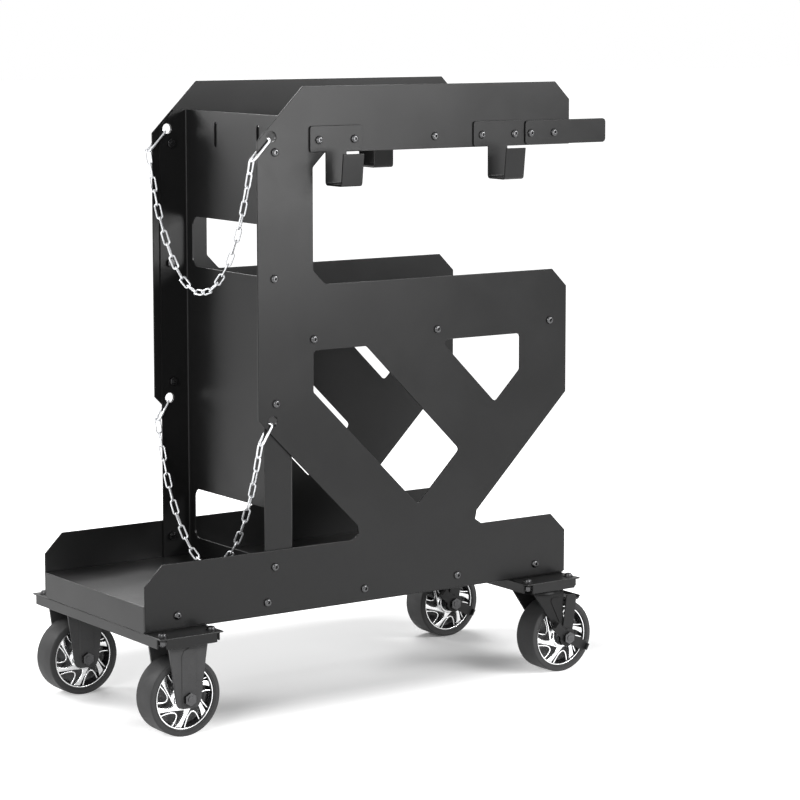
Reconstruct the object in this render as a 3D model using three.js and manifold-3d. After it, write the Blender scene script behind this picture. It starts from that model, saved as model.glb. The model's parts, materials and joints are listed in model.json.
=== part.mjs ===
// Welding cart in folded sheet steel: two side panels carry a base tray and two shelves, the rear panel
// backs a gas bottle held by two chains, and cable hooks and handle plates are screwed to the arms.
// It rolls on two fixed rear casters and two swivel front casters with side-lever brakes.
// Millimetres, +Z up, +X to the front. The origin is on the floor under the middle of the cart.

import * as THREE from "three";
import { mergeVertices } from "three/addons/utils/BufferGeometryUtils.js";
import Module from "manifold-3d";

const wasm = await Module();
wasm.setup();

// General clearances
const seatGap = 0.3; // between pieces that bear on each other
const runGap = 0.3; // between a shaft and what turns on it
const cutPast = 1; // how far a cutting tool runs past the face that it cuts

// Side panels, measured from their rear bottom corner
const cartWidth = 344; // over the outer faces of the side panels
const panelGauge = 3;
const deckLength = 852;
const panelHeight = 869;
const baseHeight = 106; // low wall along the base tray
const baseChamfer = 33;
const uprightX = 216; // rear edge of the upright
const uprightWidth = 107.5;
const bandBottom = 433; // wide band beside the middle shelf
const bandHeight = 109;
const armHeight = 109; // wide band beside the top shelf
const armReach = 4; // arm's front edge past the base
const rearChamfer = 88; // slanted shoulder over the bottle bay
const frontChamfer = 31;
const gapChamfer = 24; // inner corners between the upright and its two bands
const rearStrutWidth = 104;
const rearStrutRun = 218; // length in X of the rear strut's lower edge, from the upright to the base
const midStrutInset = 105.5; // from the upright's front edge to the middle strut's head
const midStrutWidth = 107.5;
const frontStrutRun = 217; // length in X of the front strut's lower edge, from the base to the front
const frontStrutWidth = 105;
const columnWidth = 102; // front column under the band
const footRadius = 14; // inner corners where the struts meet the base
const cutoutRadius = 6;

// Folded trays: a floor with a flange turned down on all four sides
const trayGauge = 2.5;
const trayFloor = 41; // above the panels' bottom edge
const trayBelow = 3; // how far the base tray reaches below the panels
const shelfFlange = 40;
const middleShelfLift = 2; // flange of the middle shelf above the band's lower edge
const shelfSetback = 3; // from the panels' front edges
const foldRadius = 2;

// Rear panel: an upright channel that opens to the rear
const rearGauge = 2.5;
const rearWebInset = 66; // rear face of the channel's web, from the upright's rear edge
const rearFlange = 53;
const rearRise = 20; // top of the panel above the top shelf's floor
const rearFlangeChamfer = 29;
const rearBend = 4;
const windowMargin = 20; // from the sides of the channel
const windowHeight = 87;
const windowRadius = 15;
const upperWindowLift = 51.5; // middle of the upper window above the band
const lowerWindowLift = 76; // middle of the lower window above the base tray's floor
const strapSlotWidth = 9;
const strapSlotLength = 43;
const strapSlotY = 68;
const strapSlotDrop = 19; // middle of the slots below the top shelf's floor

// Chains and the oblong connectors that hang them in the panels
const chainHoleRadius = 9;
const chainHoleInset = 28; // from the upright's rear edge
const upperHoleDrop = 81; // from the panels' top edge
const lowerHoleDrop = 3; // from the head of the rear strut's lower edge
const connectorDrop = 38; // from the hole's middle down to where the chain hangs
const connectorWire = 4;
const connectorClear = 0.9; // between the connector and the sheets that it straddles
const chainWire = 3;
const chainInnerLength = 23.8;
const chainInnerWidth = 6.4;
const chainBite = 0.6; // how far pulled links bed into each other
const hangGap = 0.7; // between a chain's end link and the connector's bow inside it
const chainBehind = 2.3; // between the links and the sheet edges in front of them
const chainOverFloor = 2.5; // least height of the lower chain over the base tray
const connectorSides = 5; // facets round the wire
const connectorSteps = 4; // straight pieces in a half-round bow
const chainSides = 4;
const chainSteps = 3;

// Cable hooks and handle plates, outside the arms
const hookGauge = 3;
const hookPlateWidth = 103;
const hookPlateHeight = 43;
const hookStemWidth = 41;
const hookDrop = 55.5; // stem below its plate
const hookReach = 43.5; // clear width inside the hook
const hookLip = 54;
const hookSplay = 6; // how far the lip leans out
const hookBend = 4;
const hookPlateLift = 1; // plate above the arm's lower edge
const rearHookInset = 44; // rear hook's middle, from the upright's front edge
const handleReach = 79; // past the arm's front edge
const handleLap = 98;
const handleHeight = 42;
const handleRadius = 6;
const handleGap = 7.5; // between the handle plate and the front hook

// Caster bars: shallow folded channels across the cart
const barGauge = 3;
const barFlange = 18;
const barSetback = 1; // from the ends of the deck
const barNotch = 12; // corner relief of the folded flanges

// Casters, from the top of their plates
const trackInset = 0; // wheels' middle planes inside the side panels' outer faces
const plateLength = 104;
const plateWidth = 88;
const plateGauge = 4;
const plateRadius = 9;
const plateClear = 1; // between a plate and its bar's end flanges
const plateSide = 3.5; // between a plate and its bar's long flanges
const crownRoom = 39; // from the plate's top down to the crown of the wheel
const wheelDiameter = 130;
const wheelWidth = 50;
const tyreDepth = 11.4; // from the tread to the rim
const tyreShoulder = 3;
const forkGauge = 4;
const forkClear = 6; // between the wheel and the fork's legs
const forkBend = 8;
const legTop = 76; // width of a fixed fork's leg at the plate
const legFoot = 42;
const legBelow = 16; // leg below the axle
const legRadius = 12;
const ribRise = 1.2; // pressed rib down the middle of a leg
const ribWidth = 26;
const ribFootWidth = 8;
const ribRadius = 4;
const ribFootInset = 3; // fixed fork's rib above the foot of its leg
const swivelTrail = 36;
const swivelFoot = 15; // half width of a swivel fork's leg at the axle
const legSetback = 10; // leg's rear edge inside the rim of the head
const legTaper = 4;
const legTuck = 6;
const legWaist = 36; // where the leg's front edge bends, above the axle
const headRadius = 44;
const headGauge = 4;
const headRim = 3; // how far the head's rim turns down
const raceRadius = 36;
const raceHeight = 9.7;
const kingpinRadius = 8;
const kingpinHeadRadius = 14;
const kingpinHeadHeight = 8;
const axleRadius = 6;
const hexRadius = 11; // over the corners of the axle's head and nut
const hexHeight = 6;
const axleEnd = 1; // shank past its nut
const spacerWall = 3.6;
const bearingWall = 5;
const hubWall = 3.5;
const hubReach = 0.5; // hub past the wheel's faces
const webHalf = 6; // half the thickness of the wheel's web
const rimSink = 3; // rim faces below the tyre's faces
const rimLip = 2.6;
const spokes = 5;
const spokeSink = 3.5; // spoke faces below the rim's faces
const spokePhase = 53; // degrees, tip of the first spoke from the front, upwards
const spokeBend = 0.4; // where the spoke's edges bend, as a share of the way from the hub to the rim
const spokeFork = 0.1; // where its thin rib starts
const spokeTipAngles = [-3, 8]; // degrees round the hub, of the trailing edge and the leading edge
const spokeBendAngles = [5, 34];
const spokeRootAngles = [18, 75];
const spokeRibAngles = [44, 51]; // root and tip of the thin rib
const spokeRibWidth = 2.6;
const wheelSteps = 16; // facets round a wheel
const headSteps = 16;
const boreSteps = 8;
const holeSteps = 12; // facets round the chain holes
const windowSteps = 4; // straight pieces in a rounded corner of a window

// Side-lever brakes
const shoeGauge = 2.5;
const shoeClear = 3.2; // between the released shoe and the tyre
const shoeTravel = 2;
const shoeLean = 8; // degrees, arm from upright towards the front
const shoeArmWidth = 22;
const shoeLength = 26;
const shoeLip = 8;
const shoeReach = 12.5; // past the middle of the tread
const shoeBend = 3;
const shoeFoot = 6; // arm below the slot
const shoeLegGap = 3; // between the shoe and the fork's leg behind it
const leverGauge = 3;
const leverHub = 16;
const leverArmWidth = 18;
const leverRearReach = 40;
const leverFrontReach = 45;
const leverRearAngle = 138; // degrees from the front, upwards
const leverFrontAngle = -28;
const leverTab = 8;
const leverCorner = 3;

// A faceted bore whose flats clear the round piece in it.
function boreFor(shaftRadius, gap = runGap, steps = boreSteps) {
  return (shaftRadius + gap) / Math.cos(Math.PI / steps);
}

// Derived places
const innerHalf = cartWidth / 2 - panelGauge;
const trayHalf = innerHalf - seatGap;
const wheelRadius = wheelDiameter / 2;
const rimRadius = wheelRadius - tyreDepth;
const axleDrop = crownRoom + wheelRadius;
const casterHeight = axleDrop + wheelRadius;
const casterTrack = cartWidth - 2 * trackInset;
const barTop = casterHeight + seatGap + barGauge;
const panelBottom = barTop + seatGap + trayBelow;
const barWidth = plateLength + 2 * (plateSide + barGauge);
const barLength = casterTrack + plateWidth + 2 * (plateClear + barGauge);
const rearBarX = barSetback + barWidth / 2;
const frontBarX = deckLength - barSetback - barWidth / 2;
const armFront = deckLength + armReach;
const rearEnd = Math.min(0, rearBarX - wheelRadius);
const frontEnd = Math.max(armFront + handleReach, frontBarX + swivelTrail + wheelRadius);
const bandTop = bandBottom + bandHeight;
const armBottom = panelHeight - armHeight;
const uprightFront = uprightX + uprightWidth;
const rearStrutFoot = uprightX + rearStrutRun;
const rearStrutHead = baseHeight + rearStrutRun;
const midStrutHead = uprightFront + midStrutInset;
const frontStrutFoot = deckLength - frontStrutRun;
const middleFloor = bandBottom + middleShelfLift + shelfFlange;
const topFloor = armBottom + shelfFlange;
const rearWebX = uprightX + rearWebInset;
const rearTop = topFloor + rearRise;
const windowWidth = 2 * (trayHalf - windowMargin);
const upperWindowZ = bandTop + upperWindowLift;
const lowerWindowZ = trayFloor + lowerWindowLift;
const strapSlotZ = topFloor - strapSlotDrop;
const chainHoleX = uprightX + chainHoleInset;
const upperHoleZ = panelHeight - upperHoleDrop;
const lowerHoleZ = rearStrutHead - lowerHoleDrop;
const shelfRear = rearWebX + rearGauge + seatGap;
const legInner = wheelWidth / 2 + forkClear;
const legOuter = legInner + forkGauge;
const axleBore = boreFor(axleRadius);
const spacerRadius = axleBore + spacerWall;
const bearingBore = boreFor(spacerRadius);
const bearingRadius = bearingBore + bearingWall;
const hubBore = boreFor(bearingRadius, seatGap, wheelSteps);
const hubRadius = hubBore + hubWall;
const kingpinBore = boreFor(kingpinRadius);
const hubHalf = wheelWidth / 2 + hubReach;
const headTop = -(plateGauge + seatGap + raceHeight + seatGap);
const headBottom = headTop - headGauge;

const powderCoat = { color: 0x34363a, roughness: 0.55, metalness: 0.25 };
const blackSteel = { color: 0x2a2b2e, roughness: 0.5, metalness: 0.4 };
const zinc = { color: 0xc9ccd0, roughness: 0.28, metalness: 0.9 };
const chrome = { color: 0xe2e4e8, roughness: 0.1, metalness: 1 };
const rubber = { color: 0x2f3033, roughness: 0.75, metalness: 0 };
const bearingSteel = { color: 0x9a9da1, roughness: 0.35, metalness: 0.85 };

// Geometry helpers

function toSolid(geometry) {
  const bare = geometry.clone();
  bare.deleteAttribute("normal");
  bare.deleteAttribute("uv");
  const merged = mergeVertices(bare, 1e-4);
  const mesh = new wasm.Mesh({
    numProp: 3,
    vertProperties: merged.attributes.position.array,
    triVerts: new Uint32Array(merged.index.array),
  });
  return new wasm.Manifold(mesh);
}

function toGeometry(solid) {
  const { vertProperties, triVerts } = solid.getMesh();
  const geometry = new THREE.BufferGeometry();
  geometry.setAttribute("position", new THREE.BufferAttribute(new Float32Array(vertProperties), 3));
  geometry.setIndex(new THREE.BufferAttribute(new Uint32Array(triVerts), 1));
  const faceted = geometry.toNonIndexed();
  faceted.computeVertexNormals();
  return faceted;
}

function joined(geometries) {
  return geometries.map(toSolid).reduce((whole, piece) => whole.add(piece));
}

function cut(solid, tools) {
  return tools.map(toSolid).reduce((rest, tool) => rest.subtract(tool), solid);
}

function node(name, shape, finish) {
  const geometry = shape.isBufferGeometry ? shape : toGeometry(shape);
  const mesh = new THREE.Mesh(geometry, new THREE.MeshStandardMaterial(finish));
  mesh.name = name;
  return mesh;
}

function sorted(a, b) {
  return [Math.min(a, b), Math.max(a, b)];
}

function polar(radius, degrees) {
  const angle = THREE.MathUtils.degToRad(degrees);
  return [radius * Math.cos(angle), radius * Math.sin(angle)];
}

// Corners given as [x, y, radius] become arcs; a corner without a radius stays sharp.
function rounded(corners, closed = true, steps = 2) {
  const points = [];
  const count = corners.length;
  corners.forEach(([x, y, radius = 0], i) => {
    const corner = new THREE.Vector2(x, y);
    const isEnd = !closed && (i === 0 || i === count - 1);
    if (radius === 0 || isEnd) {
      points.push(corner);
      return;
    }
    const before = new THREE.Vector2(...corners[(i + count - 1) % count].slice(0, 2));
    const after = new THREE.Vector2(...corners[(i + 1) % count].slice(0, 2));
    const toBefore = before.sub(corner);
    const toAfter = after.sub(corner);
    const half = Math.abs(toBefore.angleTo(toAfter)) / 2;
    const longest = 0.49 * Math.min(toBefore.length(), toAfter.length());
    const reach = Math.min(radius / Math.tan(half), longest);
    const arcRadius = reach * Math.tan(half);
    const middle = toBefore.normalize().clone().add(toAfter.normalize()).normalize();
    const centre = corner.clone().addScaledVector(middle, arcRadius / Math.sin(half));
    const start = corner.clone().addScaledVector(toBefore, reach).sub(centre);
    const end = corner.clone().addScaledVector(toAfter, reach).sub(centre);
    const turn = Math.atan2(start.cross(end), start.dot(end));
    for (let step = 0; step <= steps; step += 1) {
      const spoke = start.clone().rotateAround(new THREE.Vector2(), (turn * step) / steps);
      points.push(spoke.add(centre));
    }
  });
  return points;
}

// Outline of a bent strip of sheet, from the corners of its middle line.
function bentStrip(corners, gauge, steps = 2) {
  const line = rounded(corners, false, steps);
  const left = [];
  const right = [];
  line.forEach((point, i) => {
    const before = line[Math.max(i - 1, 0)];
    const after = line[Math.min(i + 1, line.length - 1)];
    const ahead = after.clone().sub(before).normalize();
    const inward = i > 0 ? point.clone().sub(before).normalize() : ahead;
    const widen = gauge / 2 / Math.max(inward.dot(ahead), 0.5);
    const normal = new THREE.Vector2(-ahead.y, ahead.x);
    left.push(point.clone().addScaledVector(normal, widen));
    right.push(point.clone().addScaledVector(normal, -widen));
  });
  return [...left, ...right.reverse()];
}

function extruded(points, depth, holes = []) {
  const shape = new THREE.Shape(points);
  shape.holes = holes.map((hole) => new THREE.Path(hole));
  return new THREE.ExtrudeGeometry(shape, { depth, bevelEnabled: false });
}

// Outline in X and Z, standing between two values of Y.
function alongY(points, yLow, yHigh, holes = []) {
  return extruded(points, yHigh - yLow, holes).rotateX(Math.PI / 2).translate(0, yHigh, 0);
}

// Outline in X and Y, between two heights.
function alongZ(points, zLow, zHigh, holes = []) {
  return extruded(points, zHigh - zLow, holes).translate(0, 0, zLow);
}

// Outline in Y and Z, between two values of X.
function alongX(points, xLow, xHigh) {
  return extruded(points, xHigh - xLow).rotateX(Math.PI / 2).rotateZ(Math.PI / 2).translate(xLow, 0, 0);
}

function box(low, high) {
  const size = high.map((value, i) => value - low[i]);
  const middle = high.map((value, i) => (value + low[i]) / 2);
  return new THREE.BoxGeometry(...size).translate(...middle);
}

function circle(x, y, radius, steps) {
  return Array.from({ length: steps }, (_, i) => {
    const [dx, dy] = polar(radius, (360 * (i + 0.5)) / steps);
    return new THREE.Vector2(x + dx, y + dy);
  });
}

function rectangle(x, y, width, height, radius = 0, steps = 2) {
  const dx = width / 2;
  const dy = height / 2;
  const corners = [
    [x - dx, y - dy, radius],
    [x + dx, y - dy, radius],
    [x + dx, y + dy, radius],
    [x - dx, y + dy, radius],
  ];
  return rounded(corners, true, steps);
}

// Profile of radius and height, turned about the Y axis; it runs upwards on the outside.
function turned(profile, steps) {
  const points = [...profile, profile[0]].map(([radius, y]) => new THREE.Vector2(radius, y));
  return new THREE.LatheGeometry(points, steps);
}

function turnedUpright(profile, steps) {
  return turned(profile, steps).rotateX(Math.PI / 2);
}

// A pan folded from sheet: floor on top, flanges turned down, corners open by the notch.
function foldedPan(xLow, xHigh, halfWidth, floorTop, depth, gauge, notch = 0) {
  const outline = rectangle(0, 0, xHigh - xLow - 2 * foldRadius, 2 * (halfWidth - foldRadius));
  const bend = { bevelThickness: foldRadius, bevelSize: foldRadius, bevelSegments: 2 };
  const block = new THREE.ExtrudeGeometry(new THREE.Shape(outline), { depth, ...bend });
  block.translate((xLow + xHigh) / 2, 0, floorTop - depth - foldRadius);
  const below = floorTop - depth;
  const underFloor = floorTop - gauge;
  const tools = [
    box(
      [xLow - cutPast, -halfWidth - cutPast, below - 3 * foldRadius],
      [xHigh + cutPast, halfWidth + cutPast, below],
    ),
    box(
      [xLow + gauge, -halfWidth + gauge, below - cutPast],
      [xHigh - gauge, halfWidth - gauge, underFloor],
    ),
  ];
  for (const side of notch > 0 ? [-1, 1] : []) {
    const yEdges = sorted(side * (halfWidth - notch), side * (halfWidth + cutPast));
    tools.push(box([xLow - cutPast, yEdges[0], below - cutPast], [xLow + notch, yEdges[1], underFloor]));
    tools.push(box([xHigh - notch, yEdges[0], below - cutPast], [xHigh + cutPast, yEdges[1], underFloor]));
  }
  return cut(toSolid(block), tools);
}

// An oblong link of round wire, long in X and wide in Y, centred on the origin.
function oblongLink(innerLength, innerWidth, wire, sides, bowSteps) {
  const bowRadius = (innerWidth + wire) / 2;
  const apexShare = bowSteps % 2 === 0 ? 1 : Math.cos(Math.PI / (2 * bowSteps));
  const bowX = (innerLength - innerWidth * apexShare) / 2;
  const rings = [];
  for (const end of [1, -1]) {
    for (let step = 0; step <= bowSteps; step += 1) {
      rings.push({ x: end * bowX, angle: (end > 0 ? -90 : 90) + (180 * step) / bowSteps });
    }
  }
  const positions = [];
  for (const ring of rings) {
    for (let side = 0; side < sides; side += 1) {
      const [across, up] = polar(wire / 2, (360 * side) / sides + 180);
      const [x, y] = polar(bowRadius + across, ring.angle);
      positions.push(ring.x + x, y, up);
    }
  }
  const index = [];
  rings.forEach((_, ring) => {
    const next = (ring + 1) % rings.length;
    for (let side = 0; side < sides; side += 1) {
      const beside = (side + 1) % sides;
      const corners = [ring, next].flatMap((r) => [r * sides + side, r * sides + beside]);
      index.push(corners[0], corners[2], corners[1], corners[1], corners[2], corners[3]);
    }
  });
  const geometry = new THREE.BufferGeometry();
  geometry.setAttribute("position", new THREE.Float32BufferAttribute(positions, 3));
  geometry.setIndex(index);
  return geometry;
}

// Frame of the cart: panels, trays and rear panel, measured from the panels' rear bottom corner

function sidePanelOutline() {
  return rounded([
    [0, 0],
    [deckLength, 0],
    [deckLength, baseHeight - frontChamfer],
    [deckLength - frontChamfer, baseHeight],
    [frontStrutFoot, baseHeight, footRadius],
    [deckLength, baseHeight + frontStrutRun],
    [deckLength, bandTop - frontChamfer],
    [deckLength - frontChamfer, bandTop],
    [uprightFront + gapChamfer, bandTop, cutoutRadius],
    [uprightFront, bandTop + gapChamfer, cutoutRadius],
    [uprightFront, armBottom - gapChamfer, cutoutRadius],
    [uprightFront + gapChamfer, armBottom, cutoutRadius],
    [armFront, armBottom],
    [armFront, panelHeight - frontChamfer],
    [armFront - frontChamfer, panelHeight],
    [uprightX + rearChamfer, panelHeight],
    [uprightX, panelHeight - rearChamfer],
    [uprightX, rearStrutHead],
    [rearStrutFoot, baseHeight, footRadius],
    [baseChamfer, baseHeight],
    [0, baseHeight - baseChamfer],
  ]);
}

// The struts run at 45 degrees, so each edge keeps x + z or x - z.
function strutCutouts() {
  const rearInner = rearStrutFoot + baseHeight + rearStrutWidth * Math.SQRT2;
  const midRear = midStrutHead + bandBottom;
  const midFront = midRear + midStrutWidth * Math.SQRT2;
  const frontInner = frontStrutFoot - baseHeight - frontStrutWidth * Math.SQRT2;
  const columnX = deckLength - columnWidth;
  const crossing = (sum, radius) => [(sum + frontInner) / 2, (sum - frontInner) / 2, radius];
  const rear = rounded([
    [uprightFront, rearInner - uprightFront, cutoutRadius],
    crossing(rearInner, cutoutRadius),
    crossing(midRear, cutoutRadius),
    [midStrutHead, bandBottom, cutoutRadius],
    [uprightFront, bandBottom, cutoutRadius],
  ]);
  const front = rounded([
    crossing(midFront, cutoutRadius),
    [columnX, columnX - frontInner, cutoutRadius],
    [columnX, bandBottom, cutoutRadius],
    [midFront - bandBottom, bandBottom, cutoutRadius],
  ]);
  return [rear, front];
}

function chainHoles() {
  return [upperHoleZ, lowerHoleZ].map((z) => circle(chainHoleX, z, chainHoleRadius, holeSteps));
}

function sidePanel(side) {
  const yEdges = sorted(side * innerHalf, (side * cartWidth) / 2);
  return alongY(sidePanelOutline(), ...yEdges, [...strutCutouts(), ...chainHoles()]);
}

function rearPanel() {
  const flangeX = rearWebX - rearFlange;
  const webMiddle = rearWebX + rearGauge / 2;
  const flangeY = trayHalf - rearGauge / 2;
  const channel = bentStrip(
    [
      [flangeX, -flangeY],
      [webMiddle, -flangeY, rearBend],
      [webMiddle, flangeY, rearBend],
      [flangeX, flangeY],
    ],
    rearGauge,
  );
  const shoulder = [
    [flangeX - cutPast, rearTop - rearFlangeChamfer - cutPast],
    [flangeX + rearFlangeChamfer + cutPast, rearTop + cutPast],
    [flangeX - cutPast, rearTop + cutPast],
  ];
  const acrossCart = [-cartWidth / 2, cartWidth / 2];
  const throughWeb = [rearWebX - cutPast, rearWebX + rearGauge + cutPast];
  const webCuts = [
    rectangle(0, upperWindowZ, windowWidth, windowHeight, windowRadius, windowSteps),
    rectangle(0, lowerWindowZ, windowWidth, windowHeight, windowRadius, windowSteps),
    rectangle(-strapSlotY, strapSlotZ, strapSlotWidth, strapSlotLength, strapSlotWidth / 2),
    rectangle(strapSlotY, strapSlotZ, strapSlotWidth, strapSlotLength, strapSlotWidth / 2),
  ];
  const tools = [
    alongY(rounded(shoulder), ...acrossCart),
    ...chainHoles().map((hole) => alongY(hole, ...acrossCart)),
    ...webCuts.map((outline) => alongX(outline, ...throughWeb)),
  ];
  return cut(toSolid(alongZ(channel, trayFloor + seatGap, rearTop)), tools);
}

function shelf(floorTop) {
  return foldedPan(shelfRear, deckLength - shelfSetback, trayHalf, floorTop, shelfFlange, trayGauge);
}

function frameSheets() {
  const baseTray = foldedPan(0, deckLength, trayHalf, trayFloor, trayFloor + trayBelow, trayGauge);
  const sheets = new THREE.Group();
  sheets.add(
    node("right_side_panel", sidePanel(-1), powderCoat),
    node("left_side_panel", sidePanel(1), powderCoat),
    node("rear_panel", rearPanel(), powderCoat),
    node("base_tray", baseTray, powderCoat),
    node("middle_shelf", shelf(middleFloor), powderCoat),
    node("top_shelf", shelf(topFloor), powderCoat),
  );
  return sheets;
}

// Cable hooks and handle plates, made for the right side and mirrored to the left

function cableHook() {
  const plateTop = armBottom + hookPlateLift + hookPlateHeight;
  const half = hookGauge / 2;
  const stemBottom = armBottom + hookPlateLift - hookDrop;
  const lipY = -hookReach - hookGauge;
  const plate = rectangle(0, plateTop - hookPlateHeight / 2, hookPlateWidth, hookPlateHeight, hookBend);
  const strip = bentStrip(
    [
      [-half, plateTop - hookBend],
      [-half, stemBottom + half, hookBend],
      [lipY - half, stemBottom + half, hookBend],
      [lipY - half - hookSplay, stemBottom + hookLip],
    ],
    hookGauge,
  );
  const across = hookStemWidth / 2;
  return joined([alongY(plate, -hookGauge, 0), alongX(strip, -across, across)]);
}

function handlePlate() {
  const length = handleLap + handleReach;
  const middle = armFront + handleReach - length / 2;
  const z = armBottom + hookPlateLift + handleHeight / 2;
  return alongY(rectangle(middle, z, length, handleHeight, handleRadius), -hookGauge, 0);
}

function sideFittings(sideName, side) {
  const fittings = new THREE.Group();
  const frontHookX = armFront - handleLap - handleGap - hookPlateWidth / 2;
  const hookPlaces = { rear: uprightFront + rearHookInset, front: frontHookX };
  for (const [place, x] of Object.entries(hookPlaces)) {
    const hook = node(`${sideName}_${place}_cable_hook`, cableHook(), powderCoat);
    hook.position.x = x;
    fittings.add(hook);
  }
  fittings.add(node(`${sideName}_handle_plate`, handlePlate(), powderCoat));
  fittings.scale.y = -side;
  fittings.position.y = side * (cartWidth / 2 + seatGap);
  return fittings;
}

// Chains: oblong connectors straddle the panels' edges, and the links hang between them in a catenary

const strapStack = panelGauge + seatGap + rearGauge; // panel and rear flange between a connector's legs
const bowY = cartWidth / 2 - strapStack / 2; // where the chains hang, from the middle plane
const linkHalf = chainInnerWidth / 2 + chainWire;
const linkSpacing = chainInnerLength + chainBite;
const upperBow = { x: uprightX - chainBehind - linkHalf, z: upperHoleZ - connectorDrop };
const lowerBow = { x: rearWebX - rearFlange - chainBehind - linkHalf, z: lowerHoleZ - connectorDrop };

// How far the inside of a faceted bow falls back from its apex, at a distance from its middle line.
function bowFall(radius, across, steps) {
  const turn = Math.PI / steps;
  const low = turn * Math.floor(Math.asin(across / radius) / turn);
  const high = low + turn;
  const share = (across / radius - Math.sin(low)) / (Math.sin(high) - Math.sin(low));
  return radius * (1 - Math.cos(low) - share * (Math.cos(high) - Math.cos(low)));
}

// The upper bow of a connector rests on the rim of its hole, over both sheets.
function connector(bow, holeZ, side) {
  const innerWidth = strapStack + 2 * connectorClear;
  const hole = new THREE.Vector2(chainHoleX, holeZ);
  const away = hole.clone().sub(new THREE.Vector2(bow.x, bow.z));
  const rim = away.length() - chainHoleRadius * Math.cos(Math.PI / holeSteps);
  const fall = bowFall(innerWidth / 2, strapStack / 2, connectorSteps);
  const innerLength = rim + seatGap + fall - connectorWire / 2;
  const link = oblongLink(innerLength, innerWidth, connectorWire, connectorSides, connectorSteps);
  link.translate((innerLength + connectorWire) / 2, 0, 0);
  link.rotateY(-away.angle());
  return link.translate(bow.x, side * bowY, bow.z);
}

function catenaryScale(halfSpan, halfLength) {
  let low = halfSpan / 20;
  let high = halfSpan * 20;
  for (let step = 0; step < 60; step += 1) {
    const scale = (low + high) / 2;
    if (scale * Math.sinh(halfSpan / scale) > halfLength) {
      low = scale;
    } else {
      high = scale;
    }
  }
  return (low + high) / 2;
}

function chainCurve(links) {
  const firstCentre = (chainInnerLength - connectorWire) / 2 - hangGap;
  const halfLength = firstCentre + (linkSpacing * (links - 1)) / 2;
  const scale = catenaryScale(bowY, halfLength);
  const topZ = scale * Math.cosh(bowY / scale);
  return { scale, topZ, sag: topZ - scale };
}

// The longest chain with an odd number of links that stays clear of the base tray.
function chainLinkCount() {
  const room = lowerBow.z - trayFloor - chainOverFloor - linkHalf / 2;
  let links = 2 * Math.floor(bowY / linkSpacing) + 3;
  while (chainCurve(links + 2).sag < room) {
    links += 2;
  }
  return links;
}

function chain(bow) {
  const count = chainLinkCount();
  const { scale, topZ } = chainCurve(count);
  const link = oblongLink(chainInnerLength, chainInnerWidth, chainWire, chainSides, chainSteps);
  const links = [];
  for (let i = 0; i < count; i += 1) {
    const along = (i - (count - 1) / 2) * linkSpacing;
    const slope = Math.atan(along / scale);
    const y = scale * Math.asinh(along / scale);
    const z = bow.z + Math.hypot(scale, along) - topZ;
    const placed = link.clone();
    if (i % 2 === 1) {
      placed.rotateX(Math.PI / 2);
    }
    placed.rotateZ(Math.PI / 2);
    placed.rotateX(slope);
    links.push(placed.translate(bow.x, y, z));
  }
  return joined(links);
}

function bottleChains() {
  const chains = new THREE.Group();
  const places = { upper: [upperBow, upperHoleZ], lower: [lowerBow, lowerHoleZ] };
  for (const [level, [bow, holeZ]] of Object.entries(places)) {
    chains.add(
      node(`${level}_chain`, chain(bow), zinc),
      node(`${level}_right_connector`, connector(bow, holeZ, -1), zinc),
      node(`${level}_left_connector`, connector(bow, holeZ, 1), zinc),
    );
  }
  return chains;
}

function casterBar(x) {
  const top = barTop - panelBottom;
  return foldedPan(x - barWidth / 2, x + barWidth / 2, barLength / 2, top, barFlange, barGauge, barNotch);
}

// Wheels, centred on their axle, which runs along Y

function tyre() {
  const inner = rimRadius + seatGap;
  const half = wheelWidth / 2;
  const side = wheelRadius - tyreShoulder;
  const profile = [
    [inner, -half],
    [side, -half],
    [wheelRadius, -half + tyreShoulder],
    [wheelRadius, half - tyreShoulder],
    [side, half],
    [inner, half],
  ];
  return turned(profile, wheelSteps);
}

// A swept fin with a nearly radial trailing edge, and the thin rib that forks from its leading edge.
function spokeOutlines() {
  const root = hubRadius - hubWall / 2;
  const tip = rimRadius - rimLip;
  const at = (share, degrees) => new THREE.Vector2(...polar(root + share * (tip - root), degrees));
  const edge = (i) => [
    at(0, spokeRootAngles[i]),
    at(spokeBend, spokeBendAngles[i]),
    at(1, spokeTipAngles[i]),
  ];
  const trailing = new THREE.QuadraticBezierCurve(...edge(0));
  const leading = new THREE.QuadraticBezierCurve(...edge(1).reverse());
  const fin = [...trailing.getPoints(1), ...leading.getPoints(3)];
  const ribLine = [at(spokeFork, spokeRibAngles[0]), at(1, spokeRibAngles[1])];
  const rib = bentStrip(ribLine.map((point) => point.toArray()), spokeRibWidth);
  return [fin, rib.reverse()];
}

function hub() {
  const rimHalf = wheelWidth / 2 - rimSink;
  const inside = rimRadius - rimLip;
  const profileHalf = [
    [rimRadius, rimHalf],
    [inside, rimHalf],
    [inside - rimLip, webHalf],
    [hubRadius, webHalf],
    [hubRadius, hubHalf],
    [axleBore, hubHalf],
  ];
  const mirrored = profileHalf.map(([radius, y]) => [radius, -y]).reverse();
  const pieces = [turned([...profileHalf, ...mirrored], wheelSteps)];
  for (let i = 0; i < spokes; i += 1) {
    for (const outline of spokeOutlines()) {
      const face = alongY(outline, -(rimHalf - spokeSink), -webHalf + cutPast);
      face.rotateY(THREE.MathUtils.degToRad(-spokePhase - (360 * i) / spokes));
      pieces.push(face, face.clone().rotateZ(Math.PI));
    }
  }
  const bore = alongY(circle(0, 0, hubBore, wheelSteps), -hubHalf - cutPast, hubHalf + cutPast);
  return cut(joined(pieces), [bore]);
}

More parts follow.
